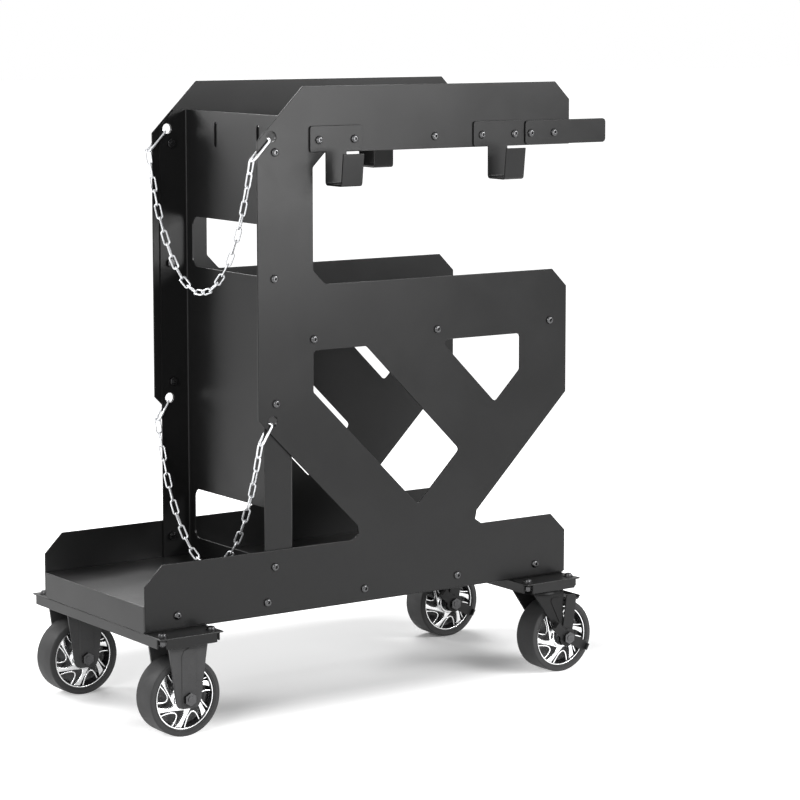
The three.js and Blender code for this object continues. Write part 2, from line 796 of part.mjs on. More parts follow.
// Turned by half a facet, so that the flats of its bore face the edges of the spacer inside.
function bearing() {
  const ring = [
    [bearingRadius, -hubHalf],
    [bearingRadius, hubHalf],
    [bearingBore, hubHalf],
    [bearingBore, -hubHalf],
  ];
  return turned(ring, boreSteps).rotateY(Math.PI / boreSteps);
}

function spacer() {
  const half = legInner - seatGap;
  const ring = [
    [spacerRadius, -half],
    [spacerRadius, half],
    [axleBore, half],
    [axleBore, -half],
  ];
  return turned(ring, boreSteps);
}

// Axle bolt with its head on the left side and its nut on the right, past the given outer faces.
function axleBolt(rightFace, leftFace) {
  const hex = circle(0, 0, hexRadius, 6);
  const shank = circle(0, 0, axleRadius, boreSteps);
  return joined([
    alongY(shank, -rightFace - hexHeight - axleEnd, leftFace + hexHeight / 2),
    alongY(hex, leftFace + seatGap, leftFace + hexHeight),
    alongY(hex, -rightFace - hexHeight, -rightFace - seatGap),
  ]);
}

function wheelSet(name) {
  const wheel = new THREE.Group();
  wheel.add(
    node(`${name}_tyre`, tyre(), rubber),
    node(`${name}_hub`, hub(), chrome),
    node(`${name}_bearing`, bearing(), bearingSteel),
    node(`${name}_spacer`, spacer(), bearingSteel),
  );
  return wheel;
}

// Forks, measured from the top of the caster's plate

function mountingPlate() {
  return alongZ(rectangle(0, 0, plateLength, plateWidth, plateRadius), -plateGauge, 0);
}

// An upside-down U of sheet, trimmed to the legs' side view, with a raised rib down each leg.
function forkLegs(outline, webTop, rib) {
  const middle = legInner + forkGauge / 2;
  const foot = -axleDrop - legBelow - cutPast;
  const bend = bentStrip(
    [
      [-middle, foot],
      [-middle, webTop - forkGauge / 2, forkBend],
      [middle, webTop - forkGauge / 2, forkBend],
      [middle, foot],
    ],
    forkGauge,
  );
  const blank = toSolid(alongX(bend, -plateLength, plateLength));
  const legs = blank.intersect(toSolid(alongY(outline, -plateWidth, plateWidth)));
  const ribs = [-1, 1].map((side) => {
    const yEdges = sorted(side * (legOuter - cutPast), side * (legOuter + ribRise));
    return toSolid(alongY(rib, ...yEdges));
  });
  return ribs.reduce((whole, rib) => whole.add(rib), legs);
}

function axleHole(x) {
  return alongY(circle(x, -axleDrop, axleBore, boreSteps), -plateWidth, plateWidth);
}

function fixedFork() {
  const webTop = -plateGauge + cutPast;
  const outline = rounded([
    [-legTop / 2, webTop + cutPast],
    [-legFoot / 2, -axleDrop - legBelow, legRadius],
    [legFoot / 2, -axleDrop - legBelow, legRadius],
    [legTop / 2, webTop + cutPast],
  ]);
  const ribTop = -plateGauge - 2 * forkBend;
  const ribFoot = -axleDrop - legBelow + ribFootInset;
  const rib = rounded([
    [-ribWidth / 2, ribFoot, ribRadius],
    [ribWidth / 2, ribFoot, ribRadius],
    [ribWidth / 2, ribTop, ribWidth / 2],
    [-ribWidth / 2, ribTop, ribWidth / 2],
  ]);
  const legs = forkLegs(outline, webTop, rib);
  return cut(legs.add(toSolid(mountingPlate())), [axleHole(0)]);
}

function swivelFork() {
  const lean = THREE.MathUtils.degToRad(shoeLean);
  const shoeRear = (wheelRadius + shoeClear) * Math.sin(lean) - (shoeArmWidth / 2) * Math.cos(lean);
  const legFront = swivelTrail + shoeRear - shoeLegGap;
  const legRear = -headRadius + legSetback;
  const outline = rounded([
    [legRear, headTop + cutPast],
    [legRear + legTaper, headBottom - legTuck, legTuck],
    [swivelTrail - swivelFoot, -axleDrop + legTuck, legTuck],
    [swivelTrail - swivelFoot, -axleDrop - swivelFoot, swivelFoot],
    [swivelTrail + swivelFoot, -axleDrop - swivelFoot, swivelFoot],
    [swivelTrail + swivelFoot, -axleDrop + legTuck, legTuck],
    [legFront - legTaper, -axleDrop + legWaist, legTuck],
    [legFront, headBottom - legTuck],
    [legFront, headTop + cutPast],
  ]);
  const ribTop = headBottom - 1.5 * forkBend;
  const ribFoot = -axleDrop + swivelFoot + ribFootWidth;
  const ribFront = legFront - legTuck;
  const ribCorners = [
    [swivelTrail - legTaper - ribFootWidth, ribFoot, ribRadius],
    [swivelTrail - legTaper, ribFoot, ribRadius],
    [ribFront, ribTop, ribRadius],
    [ribFront - ribWidth, ribTop, ribRadius],
  ];
  const rib = rounded(ribCorners, true, 1);
  const legs = forkLegs(outline, headTop, rib);
  const head = turnedUpright(
    [
      [headRadius, headBottom - headRim],
      [headRadius - headRim, headTop],
      [kingpinBore, headTop],
      [kingpinBore, headBottom],
      [headRadius - headRim - headGauge, headBottom],
    ],
    headSteps,
  );
  const bore = alongZ(circle(0, 0, kingpinBore, boreSteps), headBottom - cutPast, headTop + cutPast);
  return cut(legs.add(toSolid(head)), [bore, axleHole(swivelTrail)]);
}

function swivelPlate() {
  const bore = circle(0, 0, kingpinBore, boreSteps);
  return alongZ(rectangle(0, 0, plateLength, plateWidth, plateRadius), -plateGauge, 0, [bore]);
}

function swivelRace() {
  const top = -plateGauge - seatGap;
  const bottom = top - raceHeight;
  const profile = [
    [raceRadius - raceHeight / 3, bottom],
    [raceRadius, top],
    [kingpinBore, top],
    [kingpinBore, bottom],
  ];
  return turnedUpright(profile, headSteps);
}

function kingpin() {
  const headFace = headBottom - runGap;
  const shank = alongZ(circle(0, 0, kingpinRadius, boreSteps), headFace - kingpinHeadHeight / 2, -seatGap);
  const head = alongZ(circle(0, 0, kingpinHeadRadius, 6), headFace - kingpinHeadHeight, headFace);
  return joined([shank, head]);
}

// Brake shoe: an arm slotted on the axle, folded over the tyre at its top. It leans towards the front.
function brakeShoe() {
  const inner = -legOuter - ribRise - seatGap;
  const outer = inner - shoeGauge;
  const shoeFace = wheelRadius + shoeClear;
  const shoeMiddle = shoeFace + shoeGauge / 2;
  const armHalf = shoeArmWidth / 2;
  const arm = rounded([
    [-armHalf, -axleBore - shoeFoot, armHalf],
    [armHalf, -axleBore - shoeFoot, armHalf],
    [armHalf, shoeFace + shoeLip, shoeBend],
    [-armHalf, shoeFace + shoeLip, shoeBend],
  ]);
  const slot = rectangle(0, shoeTravel / 2, 2 * axleBore, 2 * axleBore + shoeTravel, axleBore);
  const shoe = bentStrip(
    [
      [outer + shoeGauge / 2, shoeFace - 2 * shoeBend],
      [outer + shoeGauge / 2, shoeMiddle, shoeBend],
      [shoeReach, shoeMiddle],
    ],
    shoeGauge,
  );
  const lip = bentStrip(
    [
      [-armHalf + shoeGauge, shoeMiddle],
      [shoeLength - armHalf, shoeMiddle, shoeBend],
      [shoeLength - armHalf + shoeBend, shoeFace + shoeLip],
    ],
    shoeGauge,
  );
  const folded = joined([
    alongY(arm, outer, inner, [slot]),
    alongX(shoe, -armHalf, armHalf),
    alongY(lip, outer, shoeReach),
  ]);
  return toGeometry(folded).rotateY(THREE.MathUtils.degToRad(shoeLean));
}

function leverFaces() {
  const inner = -legOuter - ribRise - seatGap - shoeGauge - seatGap;
  return { inner, outer: inner - leverGauge };
}

// Brake lever: two arms on the axle, each ending in a tab turned outwards for the foot.
function brakeLever() {
  const { inner, outer } = leverFaces();
  const pieces = [alongY(circle(0, 0, leverHub, headSteps), outer, inner)];
  const arms = [
    [leverRearReach, leverRearAngle],
    [leverFrontReach, leverFrontAngle],
  ];
  for (const [reach, angle] of arms) {
    const side = leverArmWidth / 2;
    const blade = rounded([[0, -side], [reach, -side, leverCorner], [reach, side, leverCorner], [0, side]]);
    const arm = alongY(blade, outer, inner);
    const tabSide = side - leverCorner;
    const tab = box([reach - leverGauge, outer - leverTab, -tabSide], [reach, inner, tabSide]);
    const turn = THREE.MathUtils.degToRad(-angle);
    pieces.push(arm.rotateY(turn), tab.rotateY(turn));
  }
  const bore = alongY(circle(0, 0, axleBore, boreSteps), outer - cutPast, inner + cutPast);
  return cut(joined(pieces), [bore]);
}

function fixedCaster(name) {
  const caster = new THREE.Group();
  const wheel = wheelSet(name);
  wheel.add(node(`${name}_axle`, axleBolt(legOuter + ribRise, legOuter + ribRise), blackSteel));
  wheel.position.z = -axleDrop;
  caster.add(node(`${name}_fork`, fixedFork(), blackSteel), wheel);
  return caster;
}

function swivelCaster(name) {
  const caster = new THREE.Group();
  const wheel = wheelSet(name);
  wheel.add(
    node(`${name}_axle`, axleBolt(-leverFaces().outer, legOuter), blackSteel),
    node(`${name}_brake_shoe`, brakeShoe(), blackSteel),
    node(`${name}_brake_lever`, brakeLever(), blackSteel),
  );
  wheel.position.set(swivelTrail, 0, -axleDrop);
  caster.add(
    node(`${name}_plate`, swivelPlate(), blackSteel),
    node(`${name}_race`, swivelRace(), bearingSteel),
    node(`${name}_fork`, swivelFork(), blackSteel),
    node(`${name}_kingpin`, kingpin(), bearingSteel),
    wheel,
  );
  return caster;
}

// The whole cart

function casterAt(caster, x, side) {
  caster.position.set(x, (side * casterTrack) / 2, casterHeight - panelBottom);
  return caster;
}

const cart = new THREE.Group();
cart.add(
  frameSheets(),
  sideFittings("right", -1),
  sideFittings("left", 1),
  bottleChains(),
  node("rear_caster_bar", casterBar(rearBarX), powderCoat),
  node("front_caster_bar", casterBar(frontBarX), powderCoat),
  casterAt(fixedCaster("right_rear_caster"), rearBarX, -1),
  casterAt(fixedCaster("left_rear_caster"), rearBarX, 1),
  casterAt(swivelCaster("right_front_caster"), frontBarX, -1),
  casterAt(swivelCaster("left_front_caster"), frontBarX, 1),
);
cart.position.set(-(rearEnd + frontEnd) / 2, 0, panelBottom);

const weldingCart = new THREE.Group();
weldingCart.add(cart);

export default weldingCart;
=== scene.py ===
"""Welding cart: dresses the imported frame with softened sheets, chains, wheels, fasteners and a stage."""

import json
import math

import bmesh
import bpy
from bpy.props import FloatProperty, FloatVectorProperty, IntProperty, PointerProperty
from mathutils import Matrix, Vector


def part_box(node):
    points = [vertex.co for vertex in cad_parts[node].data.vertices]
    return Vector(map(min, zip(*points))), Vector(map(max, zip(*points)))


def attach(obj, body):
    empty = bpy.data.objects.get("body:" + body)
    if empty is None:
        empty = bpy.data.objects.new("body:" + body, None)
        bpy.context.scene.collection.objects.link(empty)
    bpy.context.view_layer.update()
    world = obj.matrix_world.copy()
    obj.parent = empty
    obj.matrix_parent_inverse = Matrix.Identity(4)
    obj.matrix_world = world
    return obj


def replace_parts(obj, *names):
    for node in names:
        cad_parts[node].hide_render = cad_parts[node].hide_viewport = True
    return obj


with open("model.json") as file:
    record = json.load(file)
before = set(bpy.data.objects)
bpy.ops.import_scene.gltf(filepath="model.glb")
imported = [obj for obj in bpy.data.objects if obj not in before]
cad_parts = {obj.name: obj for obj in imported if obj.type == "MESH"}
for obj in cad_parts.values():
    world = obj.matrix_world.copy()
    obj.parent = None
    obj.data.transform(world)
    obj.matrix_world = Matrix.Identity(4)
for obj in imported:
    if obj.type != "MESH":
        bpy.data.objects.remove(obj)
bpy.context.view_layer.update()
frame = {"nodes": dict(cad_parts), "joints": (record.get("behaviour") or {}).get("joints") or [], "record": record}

bl_info = {
    "name": "Welding Cart",
    "version": (1, 0, 0),
    "blender": (4, 5, 0),
    "location": "View3D > Sidebar > Cart",
    "description": "Sheets, bottle chains, casters, fasteners and stage of a welding cart",
    "category": "Object",
}

MM = 0.001
TYRE_EASE = 0.02 * MM
# A box under the cart where the floor's glow drops to paint a soft shadow: its centre, its half sizes and the
# width of its fade, in metres
PAINTED_SHADOW_CENTRE = (0.1, 0.14, 0.0)
PAINTED_SHADOW_HALF = (0.42, 0.2, 0.0)
PAINTED_SHADOW_FADE = 0.24
NODES = frame["nodes"]
JOINTS = {joint["name"]: joint for joint in frame["joints"]}
BODY_OF = {
    node: body
    for body, members in frame["record"]["behaviour"]["bodies"].items()
    for node in members
}
SIDES = {"right": -1, "left": 1}
SHEET_NODES = ["right_side_panel", "left_side_panel", "rear_panel", "base_tray", "middle_shelf", "top_shelf"]
HOOK_NODES = [f"{side}_{place}_cable_hook" for side in SIDES for place in ("rear", "front")]
HANDLE_NODES = [f"{side}_handle_plate" for side in SIDES]
BAR_NODES = ["rear_caster_bar", "front_caster_bar"]
CASTERS = [f"{side}_{place}_caster" for place in ("rear", "front") for side in SIDES]
SWIVEL_CASTERS = [name for name in CASTERS if "front" in name]


def length(name, description, default_mm):
    """A length property, with its default written in millimetres."""
    return FloatProperty(
        name=name, description=description, default=default_mm * MM, unit="LENGTH", precision=5
    )


def colour(name, description, default):
    """A colour property in linear light."""
    return FloatVectorProperty(
        name=name, description=description, default=default, subtype="COLOR", size=3, min=0.0, max=1.0
    )


class CartSheetSizes(bpy.types.PropertyGroup):
    """Sizes of the folded sheets' edges and of their fasteners."""

    edge_round: length("Edge rounding", "Width of the rounding along cut sheet edges", 0.9)
    pressing_round: length("Pressing rounding", "Width of the rounding along the edges of forks", 0.9)
    screw_head: length("Screw head", "Diameter of a button head", 14.0)
    screw_rise: length("Screw rise", "Height of a button head", 4.4)
    screw_socket: length("Screw socket", "Width over the flats of the hexagon socket", 5.0)
    screw_shank: length("Screw shank", "Diameter of a screw's thread", 8.0)
    nut_width: length("Nut width", "Width over the flats of a nut", 13.0)
    nut_height: length("Nut height", "Height of a nut", 6.5)
    washer_width: length("Washer width", "Diameter of the washers under the caster bolts", 17.0)
    washer_gauge: length("Washer gauge", "Thickness of the washers", 1.6)
    tray_gauge: length("Tray gauge", "Sheet thickness of the trays' flanges", 2.5)
    fitting_gauge: length("Fitting gauge", "Sheet thickness of hooks and handle plates", 3.0)
    fitting_gap: length("Fitting gap", "Between a panel and the plates screwed to it", 0.3)
    plate_bolts_x: length("Plate bolts along", "Spacing of the caster bolts along the cart", 90.0)
    plate_bolts_y: length("Plate bolts across", "Spacing of the caster bolts across the cart", 60.0)


class CartChainSizes(bpy.types.PropertyGroup):
    """Sizes of the bottle chains and of their end connectors."""

    links: IntProperty(name="Links", description="Number of links in each chain", default=25, min=3)
    link_wire: length("Link wire", "Diameter of the chain's wire", 3.0)
    link_length: length("Link length", "Inner length of a link", 23.8)
    link_width: length("Link width", "Inner width of a link", 6.4)
    link_bite: length("Link bite", "How far pulled links bed into each other", 0.6)
    hang_gap: length("Hang gap", "Between the end links and the connectors' bows", 0.7)
    twist: FloatProperty(
        name="Twist", description="Turn of the middle links", default=math.radians(-45.0), subtype="ANGLE"
    )
    end_twist: FloatProperty(
        name="End twist", description="Turn of the end links", default=math.radians(-11.0), subtype="ANGLE"
    )
    twisted: IntProperty(
        name="Twisted", description="Links at each end with a growing turn", default=6, min=1
    )
    connector_wire: length("Connector wire", "Diameter of the connectors' wire", 4.0)
    connector_width: length("Connector width", "Inner width of a connector", 7.6)


class CartWheelSizes(bpy.types.PropertyGroup):
    """Sizes of the tyres and of the spoked hubs."""

    facets: IntProperty(name="Facets", description="Facets round a wheel", default=96, min=24)
    shoulder: length("Tyre shoulder", "Radius of the tyre's shoulders", 3.0)
    bead_groove: length("Bead groove", "Depth of the groove beside the rim", 0.6)
    rim_sink: length("Rim sink", "Rim faces below the tyre's faces", 3.0)
    rim_lip: length("Rim lip", "Width of the bright ring at the rim", 2.6)
    web_half: length("Web", "Half the thickness of the hub's web", 6.0)
    boss_radius: length("Boss radius", "Radius of the boss round the bearing", 20.7)
    boss_wall: length("Boss wall", "Wall of the boss round the bearing", 3.5)
    rim_gap: length("Rim gap", "Between the rim and the tyre on it", 0.3)
    spoke_sink: length("Spoke sink", "Spoke faces below the rim's faces", 3.5)
    spoke_rib: length("Spoke rib", "Width of the thin rib round each pocket", 2.4)
    spoke_round: length("Spoke rounding", "Width of the rounding along the fins' edges", 2.6)
    rib_round: length("Rib rounding", "Width of the rounding along the ribs' edges", 0.9)
    spokes: IntProperty(name="Spokes", description="Spokes of a hub", default=6, min=3)
    rear_phase: FloatProperty(
        name="Rear phase",
        description="Angle of the first spoke of a rear wheel, from the front",
        default=math.radians(18.0),
        subtype="ANGLE",
    )
    front_phase: FloatProperty(
        name="Front phase",
        description="Angle of the first spoke of a front wheel, from the front",
        default=math.radians(2.0),
        subtype="ANGLE",
    )


class CartColours(bpy.types.PropertyGroup):
    """Colours of the finishes, in linear light."""

    coat: colour("Powder coat", "Anthracite powder coat of the sheets", (0.012, 0.012, 0.0122))
    fixed_fork: colour("Fixed fork", "Grey coat of the rear casters' forks", (0.066, 0.066, 0.067))
    swivel_fork: colour("Swivel fork", "Black coat of the front forks and plates", (0.012, 0.012, 0.0122))
    brake: colour("Brake", "Black coat of the brake levers and shoes", (0.024, 0.024, 0.0244))
    black_screw: colour("Black screw", "Blackened screws, nuts and bolts", (0.085, 0.085, 0.087))
    zinc: colour("Zinc", "Bright zinc of the chains", (0.82, 0.83, 0.85))
    chrome: colour("Chrome", "Chrome of the rims and spokes", (0.93, 0.935, 0.94))
    pocket: colour("Pocket", "Black lacquer between the spokes", (0.012, 0.012, 0.013))
    tyre: colour("Tyre", "Grey-black rubber of the tyres", (0.042, 0.042, 0.0427))
    steel: colour("Steel", "Turned steel of spacers and races", (0.46, 0.47, 0.49))
    floor: colour("Floor", "Pale studio floor", (0.86, 0.86, 0.86))


class CartCamera(bpy.types.PropertyGroup):
    """Place and lens of the camera, and the strength of the light."""

    place: FloatVectorProperty(
        name="Place", description="Camera's place", default=(-2.6734, -4.1, 1.1987), subtype="TRANSLATION"
    )
    tilt: FloatProperty(
        name="Tilt", description="Angle from straight down", default=math.radians(82.972), subtype="ANGLE"
    )
    roll: FloatProperty(
        name="Roll", description="Angle about the line of sight", default=math.radians(0.204), subtype="ANGLE"
    )
    turn: FloatProperty(
        name="Turn", description="Angle about the upright", default=math.radians(-36.312), subtype="ANGLE"
    )
    lens: FloatProperty(name="Lens", description="Focal length in millimetres", default=127.9, min=1.0)
    shift: FloatVectorProperty(
        name="Shift", description="Shift of the lens, in picture widths", default=(-0.108, -0.0722), size=2
    )
    key_power: FloatProperty(
        name="Key power", description="Power of the lamp at the left", default=28.0, subtype="POWER"
    )
    sheen_power: FloatProperty(
        name="Sheen power", description="Power of the lamp at the right", default=12.0, subtype="POWER"
    )
    brow_power: FloatProperty(
        name="Brow power", description="Power of the lamp over the right one", default=40.0, subtype="POWER"
    )
    back_power: FloatProperty(
        name="Back power", description="Power of the lamp above and behind", default=45.0, subtype="POWER"
    )
    rear_power: FloatProperty(
        name="Rear power", description="Power of the lamp at the rear panel", default=32.0, subtype="POWER"
    )
    world_level: FloatProperty(
        name="World", description="Strength of the surrounding light", default=0.14, min=0.0
    )
    # Glow of the floor in the box under the cart, turned down there to paint a soft shadow
    painted_shadow_glow: FloatProperty(
        name="Near glow", description="Glow of the floor under the cart", default=0.06, min=0.0
    )


# Shader node groups and materials


def add_node(tree, kind, **values):
    """A node with some of its inputs or settings filled in."""
    made = tree.nodes.new(kind)
    for name, value in values.items():
        label = name.replace("_", " ")
        if label in made.inputs:
            made.inputs[label].default_value = value
        else:
            setattr(made, name, value)
    return made


def new_group(name, inputs, outputs):
    """An empty shader group with float inputs and outputs, and a vector input named Vector."""
    tree = bpy.data.node_groups.new(name, "ShaderNodeTree")
    tree.interface.new_socket("Vector", in_out="INPUT", socket_type="NodeSocketVector")
    for label, default in inputs.items():
        socket = tree.interface.new_socket(label, in_out="INPUT", socket_type="NodeSocketFloat")
        socket.default_value = default
    for label in outputs:
        tree.interface.new_socket(label, in_out="OUTPUT", socket_type="NodeSocketFloat")
    return tree, tree.nodes.new("NodeGroupInput"), tree.nodes.new("NodeGroupOutput")


def grain_group():
    """Fine pebbled grain of a baked coat: a height and a mask of its lighter grains."""
    found = bpy.data.node_groups.get("Coat Grain")
    if found:
        return found
    tree, source, sink = new_group("Coat Grain", {"Scale": 1400.0, "Lumps": 0.35}, ("Height", "Mask"))
    fine = add_node(tree, "ShaderNodeTexNoise", Detail=3.0, Roughness=0.6)
    coarse_scale = add_node(tree, "ShaderNodeMath", operation="MULTIPLY")
    coarse = add_node(tree, "ShaderNodeTexNoise", Detail=2.0, Roughness=0.5)
    blend = add_node(tree, "ShaderNodeMix", data_type="FLOAT")
    mask = add_node(tree, "ShaderNodeMapRange", From_Min=0.42, From_Max=0.68)
    links = tree.links
    links.new(source.outputs["Vector"], fine.inputs["Vector"])
    links.new(source.outputs["Vector"], coarse.inputs["Vector"])
    links.new(source.outputs["Scale"], fine.inputs["Scale"])
    links.new(source.outputs["Scale"], coarse_scale.inputs[0])
    coarse_scale.inputs[1].default_value = 0.3
    links.new(coarse_scale.outputs[0], coarse.inputs["Scale"])
    links.new(source.outputs["Lumps"], blend.inputs[0])
    links.new(fine.outputs["Fac"], blend.inputs[2])
    links.new(coarse.outputs["Fac"], blend.inputs[3])
    links.new(blend.outputs[0], sink.inputs["Height"])
    links.new(fine.outputs["Fac"], mask.inputs["Value"])
    links.new(mask.outputs[0], sink.inputs["Mask"])
    return tree


def marks_group():
    """Soft uneven marks of handling and dust, as a mask from 0 to 1."""
    found = bpy.data.node_groups.get("Handling Marks")
    if found:
        return found
    tree, source, sink = new_group("Handling Marks", {"Scale": 9.0, "Level": 0.5}, ("Mask",))
    broad = add_node(tree, "ShaderNodeTexNoise", Detail=5.0, Roughness=0.62, Distortion=0.4)
    low = add_node(tree, "ShaderNodeMath", operation="SUBTRACT")
    low.inputs[1].default_value = 0.2
    high = add_node(tree, "ShaderNodeMath", operation="ADD")
    high.inputs[1].default_value = 0.2
    mask = add_node(tree, "ShaderNodeMapRange", interpolation_type="SMOOTHSTEP")
    links = tree.links
    links.new(source.outputs["Vector"], broad.inputs["Vector"])
    links.new(source.outputs["Scale"], broad.inputs["Scale"])
    links.new(source.outputs["Level"], low.inputs[0])
    links.new(source.outputs["Level"], high.inputs[0])
    links.new(broad.outputs["Fac"], mask.inputs["Value"])
    links.new(low.outputs[0], mask.inputs["From Min"])
    links.new(high.outputs[0], mask.inputs["From Max"])
    links.new(mask.outputs[0], sink.inputs["Mask"])
    return tree


def place_group(tree, group, vector, **values):
    """A group node in a material, with its vector linked and its other inputs set."""
    made = tree.nodes.new("ShaderNodeGroup")
    made.node_tree = group
    for name, value in values.items():
        made.inputs[name].default_value = value
    tree.links.new(vector, made.inputs["Vector"])
    return made


def shaded(value, factor):
    """A colour with its light scaled, as a four-part value."""
    return (*(min(part * factor, 1.0) for part in value), 1.0)


def finish(name, base, spread, roughness, grain, marks, metallic=0.0, **sockets):
    """A material whose colour and roughness vary with marks, and whose bump is a coat's grain.

    spread is how far the colour varies, roughness holds its two limits, grain its scale and depth, and
    marks their scale and level.
    """
    found = bpy.data.materials.get(name)
    if found:
        return found
    made = bpy.data.materials.new(name)
    made.use_nodes = True
    tree = made.node_tree
    shader = tree.nodes["Principled BSDF"]
    shader.inputs["Metallic"].default_value = metallic
    for label, value in sockets.items():
        shader.inputs[label.replace("_", " ")].default_value = value
    place = add_node(tree, "ShaderNodeTexCoord").outputs["Object"]
    pebbles = place_group(tree, grain_group(), place, Scale=grain[0])
    worn = place_group(tree, marks_group(), place, Scale=marks[0], Level=marks[1])
    tone = add_node(tree, "ShaderNodeMix", data_type="RGBA")
    tone.inputs[6].default_value = shaded(base, 1.0 - spread)
    tone.inputs[7].default_value = shaded(base, 1.0 + spread)
    both = add_node(tree, "ShaderNodeMath", operation="ADD")
    half = add_node(tree, "ShaderNodeMath", operation="MULTIPLY")
    half.inputs[1].default_value = 0.5
    sheen = add_node(tree, "ShaderNodeMapRange", To_Min=roughness[0], To_Max=roughness[1])
    bump = add_node(tree, "ShaderNodeBump", Strength=1.0, Distance=grain[1])
    links = tree.links
    links.new(pebbles.outputs["Mask"], both.inputs[0])
    links.new(worn.outputs["Mask"], both.inputs[1])
    links.new(both.outputs[0], half.inputs[0])
    links.new(half.outputs[0], tone.inputs[0])
    links.new(tone.outputs[2], shader.inputs["Base Color"])
    links.new(worn.outputs["Mask"], sheen.inputs["Value"])
    links.new(sheen.outputs[0], shader.inputs["Roughness"])
    links.new(pebbles.outputs["Height"], bump.inputs["Height"])
    links.new(bump.outputs["Normal"], shader.inputs["Normal"])
    return made


def powder_coat():
    """Satin anthracite powder coat with a fine texture."""
    base = bpy.context.scene.cart_colours.coat
    grain = (1500.0, 0.00005)
    marks = (7.0, 0.52)
    return finish("satin_powder_coat", base, 0.1, (0.3, 0.37), grain, marks, Specular_IOR_Level=0.22)


def pressed_steel(part):
    """Smooth coat of the casters' pressings, in the colour of the named part."""
    base = getattr(bpy.context.scene.cart_colours, part)
    grain = (900.0, 0.00005)
    marks = (24.0, 0.5)
    return finish(f"pressed_{part}", base, 0.14, (0.34, 0.46), grain, marks, Specular_IOR_Level=0.14)


def black_screw():
    """Blackened steel with a light oil film."""
    base = bpy.context.scene.cart_colours.black_screw
    return finish("blackened_screw", base, 0.2, (0.2, 0.34), (2200.0, 0.00002), (120.0, 0.5), metallic=1.0)


def zinc_plate():
    """Bright zinc with a slight cloudiness."""
    base = bpy.context.scene.cart_colours.zinc
    return finish("zinc_plate", base, 0.1, (0.24, 0.4), (1800.0, 0.00002), (90.0, 0.5), metallic=0.55)


def chrome_plate():
    """Polished chrome over a die casting."""
    base = bpy.context.scene.cart_colours.chrome
    return finish("chrome_plate", base, 0.04, (0.14, 0.22), (260.0, 0.00002), (60.0, 0.5), metallic=1.0)


def pocket_black():
    """Glossy black lacquer in the pockets between the spokes."""
    base = bpy.context.scene.cart_colours.pocket
    return finish("pocket_black", base, 0.2, (0.22, 0.36), (700.0, 0.00003), (50.0, 0.5))


def tyre_rubber():
    """Moulded grey-black rubber, a little dusty."""
    base = bpy.context.scene.cart_colours.tyre
    grain = (1100.0, 0.00004)
    marks = (30.0, 0.5)
    return finish("moulded_rubber", base, 0.16, (0.55, 0.7), grain, marks, Specular_IOR_Level=0.28)


def turned_steel():
    """Turned steel of the spacers, bearings and races."""
    base = bpy.context.scene.cart_colours.steel
    return finish("turned_steel", base, 0.12, (0.26, 0.4), (1600.0, 0.00002), (80.0, 0.5), metallic=1.0)


# Mesh helpers


def piece(name, bm, materials, body, stands_for=()):
    """Makes a bmesh into a piece that rides on a body."""
    mesh = bpy.data.meshes.new(name)
    bm.to_mesh(mesh)
    bm.free()
    for material in materials:
        mesh.materials.append(material)
    made = bpy.data.objects.new(name, mesh)
    bpy.context.scene.collection.objects.link(made)
    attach(made, body)
    if stands_for:
        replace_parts(made, *stands_for)
    return made


def smooth_over(made, degrees):
    """Shades a piece smooth over edges below an angle, keeping broad faces flat."""
    made.data.shade_smooth()
    made.data.set_sharp_from_angle(angle=math.radians(degrees))
    flat = made.modifiers.new("Broad faces flat", "WEIGHTED_NORMAL")
    flat.keep_sharp = True
    return made


def softened(node, width, material, sharp_degrees=50.0):
    """A copy of a node with its triangles joined into faces and its sharp edges rounded."""
    bm = bmesh.new()
    bm.from_mesh(NODES[node].data)
    bmesh.ops.remove_doubles(bm, verts=bm.verts, dist=0.002 * MM)
    bmesh.ops.dissolve_limit(bm, angle_limit=math.radians(1.0), verts=bm.verts, edges=bm.edges)
    sharp = [
        edge
        for edge in bm.edges
        if edge.is_manifold and edge.calc_face_angle() > math.radians(sharp_degrees)
    ]
    bmesh.ops.bevel(
        bm,
        geom=sharp,
        offset=width,
        offset_type="OFFSET",
        segments=2,
        profile=0.5,
        affect="EDGES",
        clamp_overlap=True,
        material=-1,
    )
    made = piece(f"{node}_dressed", bm, [material], BODY_OF[node], [node])
    return smooth_over(made, 60.0)


def scattered(template, places):
    """Copies of a template bmesh, one for each matrix; the template is freed."""
    mesh = bpy.data.meshes.new("template")
    template.to_mesh(mesh)
    template.free()
    bm = bmesh.new()
    for place in places:
        first = len(bm.verts)
        bm.from_mesh(mesh)
        bm.verts.ensure_lookup_table()
        bmesh.ops.transform(bm, matrix=place, verts=bm.verts[first:])
    bpy.data.meshes.remove(mesh)
    return bm


def arc(centre, radius, start, end, steps):
    """Points on an arc in a plane, from one angle to another in degrees."""
    angles = [math.radians(start + (end - start) * step / steps) for step in range(steps + 1)]
    return [(centre[0] + radius * math.cos(a), centre[1] + radius * math.sin(a)) for a in angles]


def turned(profile, steps, bm=None):
    """A ring turned about the Y axis from a closed profile of (radius, y)."""
    bm = bm or bmesh.new()
    verts = [bm.verts.new((radius, y, 0.0)) for radius, y in profile]
    edges = [bm.edges.new((verts[i - 1], verts[i])) for i in range(len(verts))]
    bmesh.ops.spin(
        bm,
        geom=verts + edges,
        cent=(0.0, 0.0, 0.0),
        axis=(0.0, 1.0, 0.0),
        angle=math.tau,
        steps=steps,
        use_merge=True,
    )
    bmesh.ops.remove_doubles(bm, verts=bm.verts, dist=0.001 * MM)
    bmesh.ops.recalc_face_normals(bm, faces=bm.faces)
    return bm


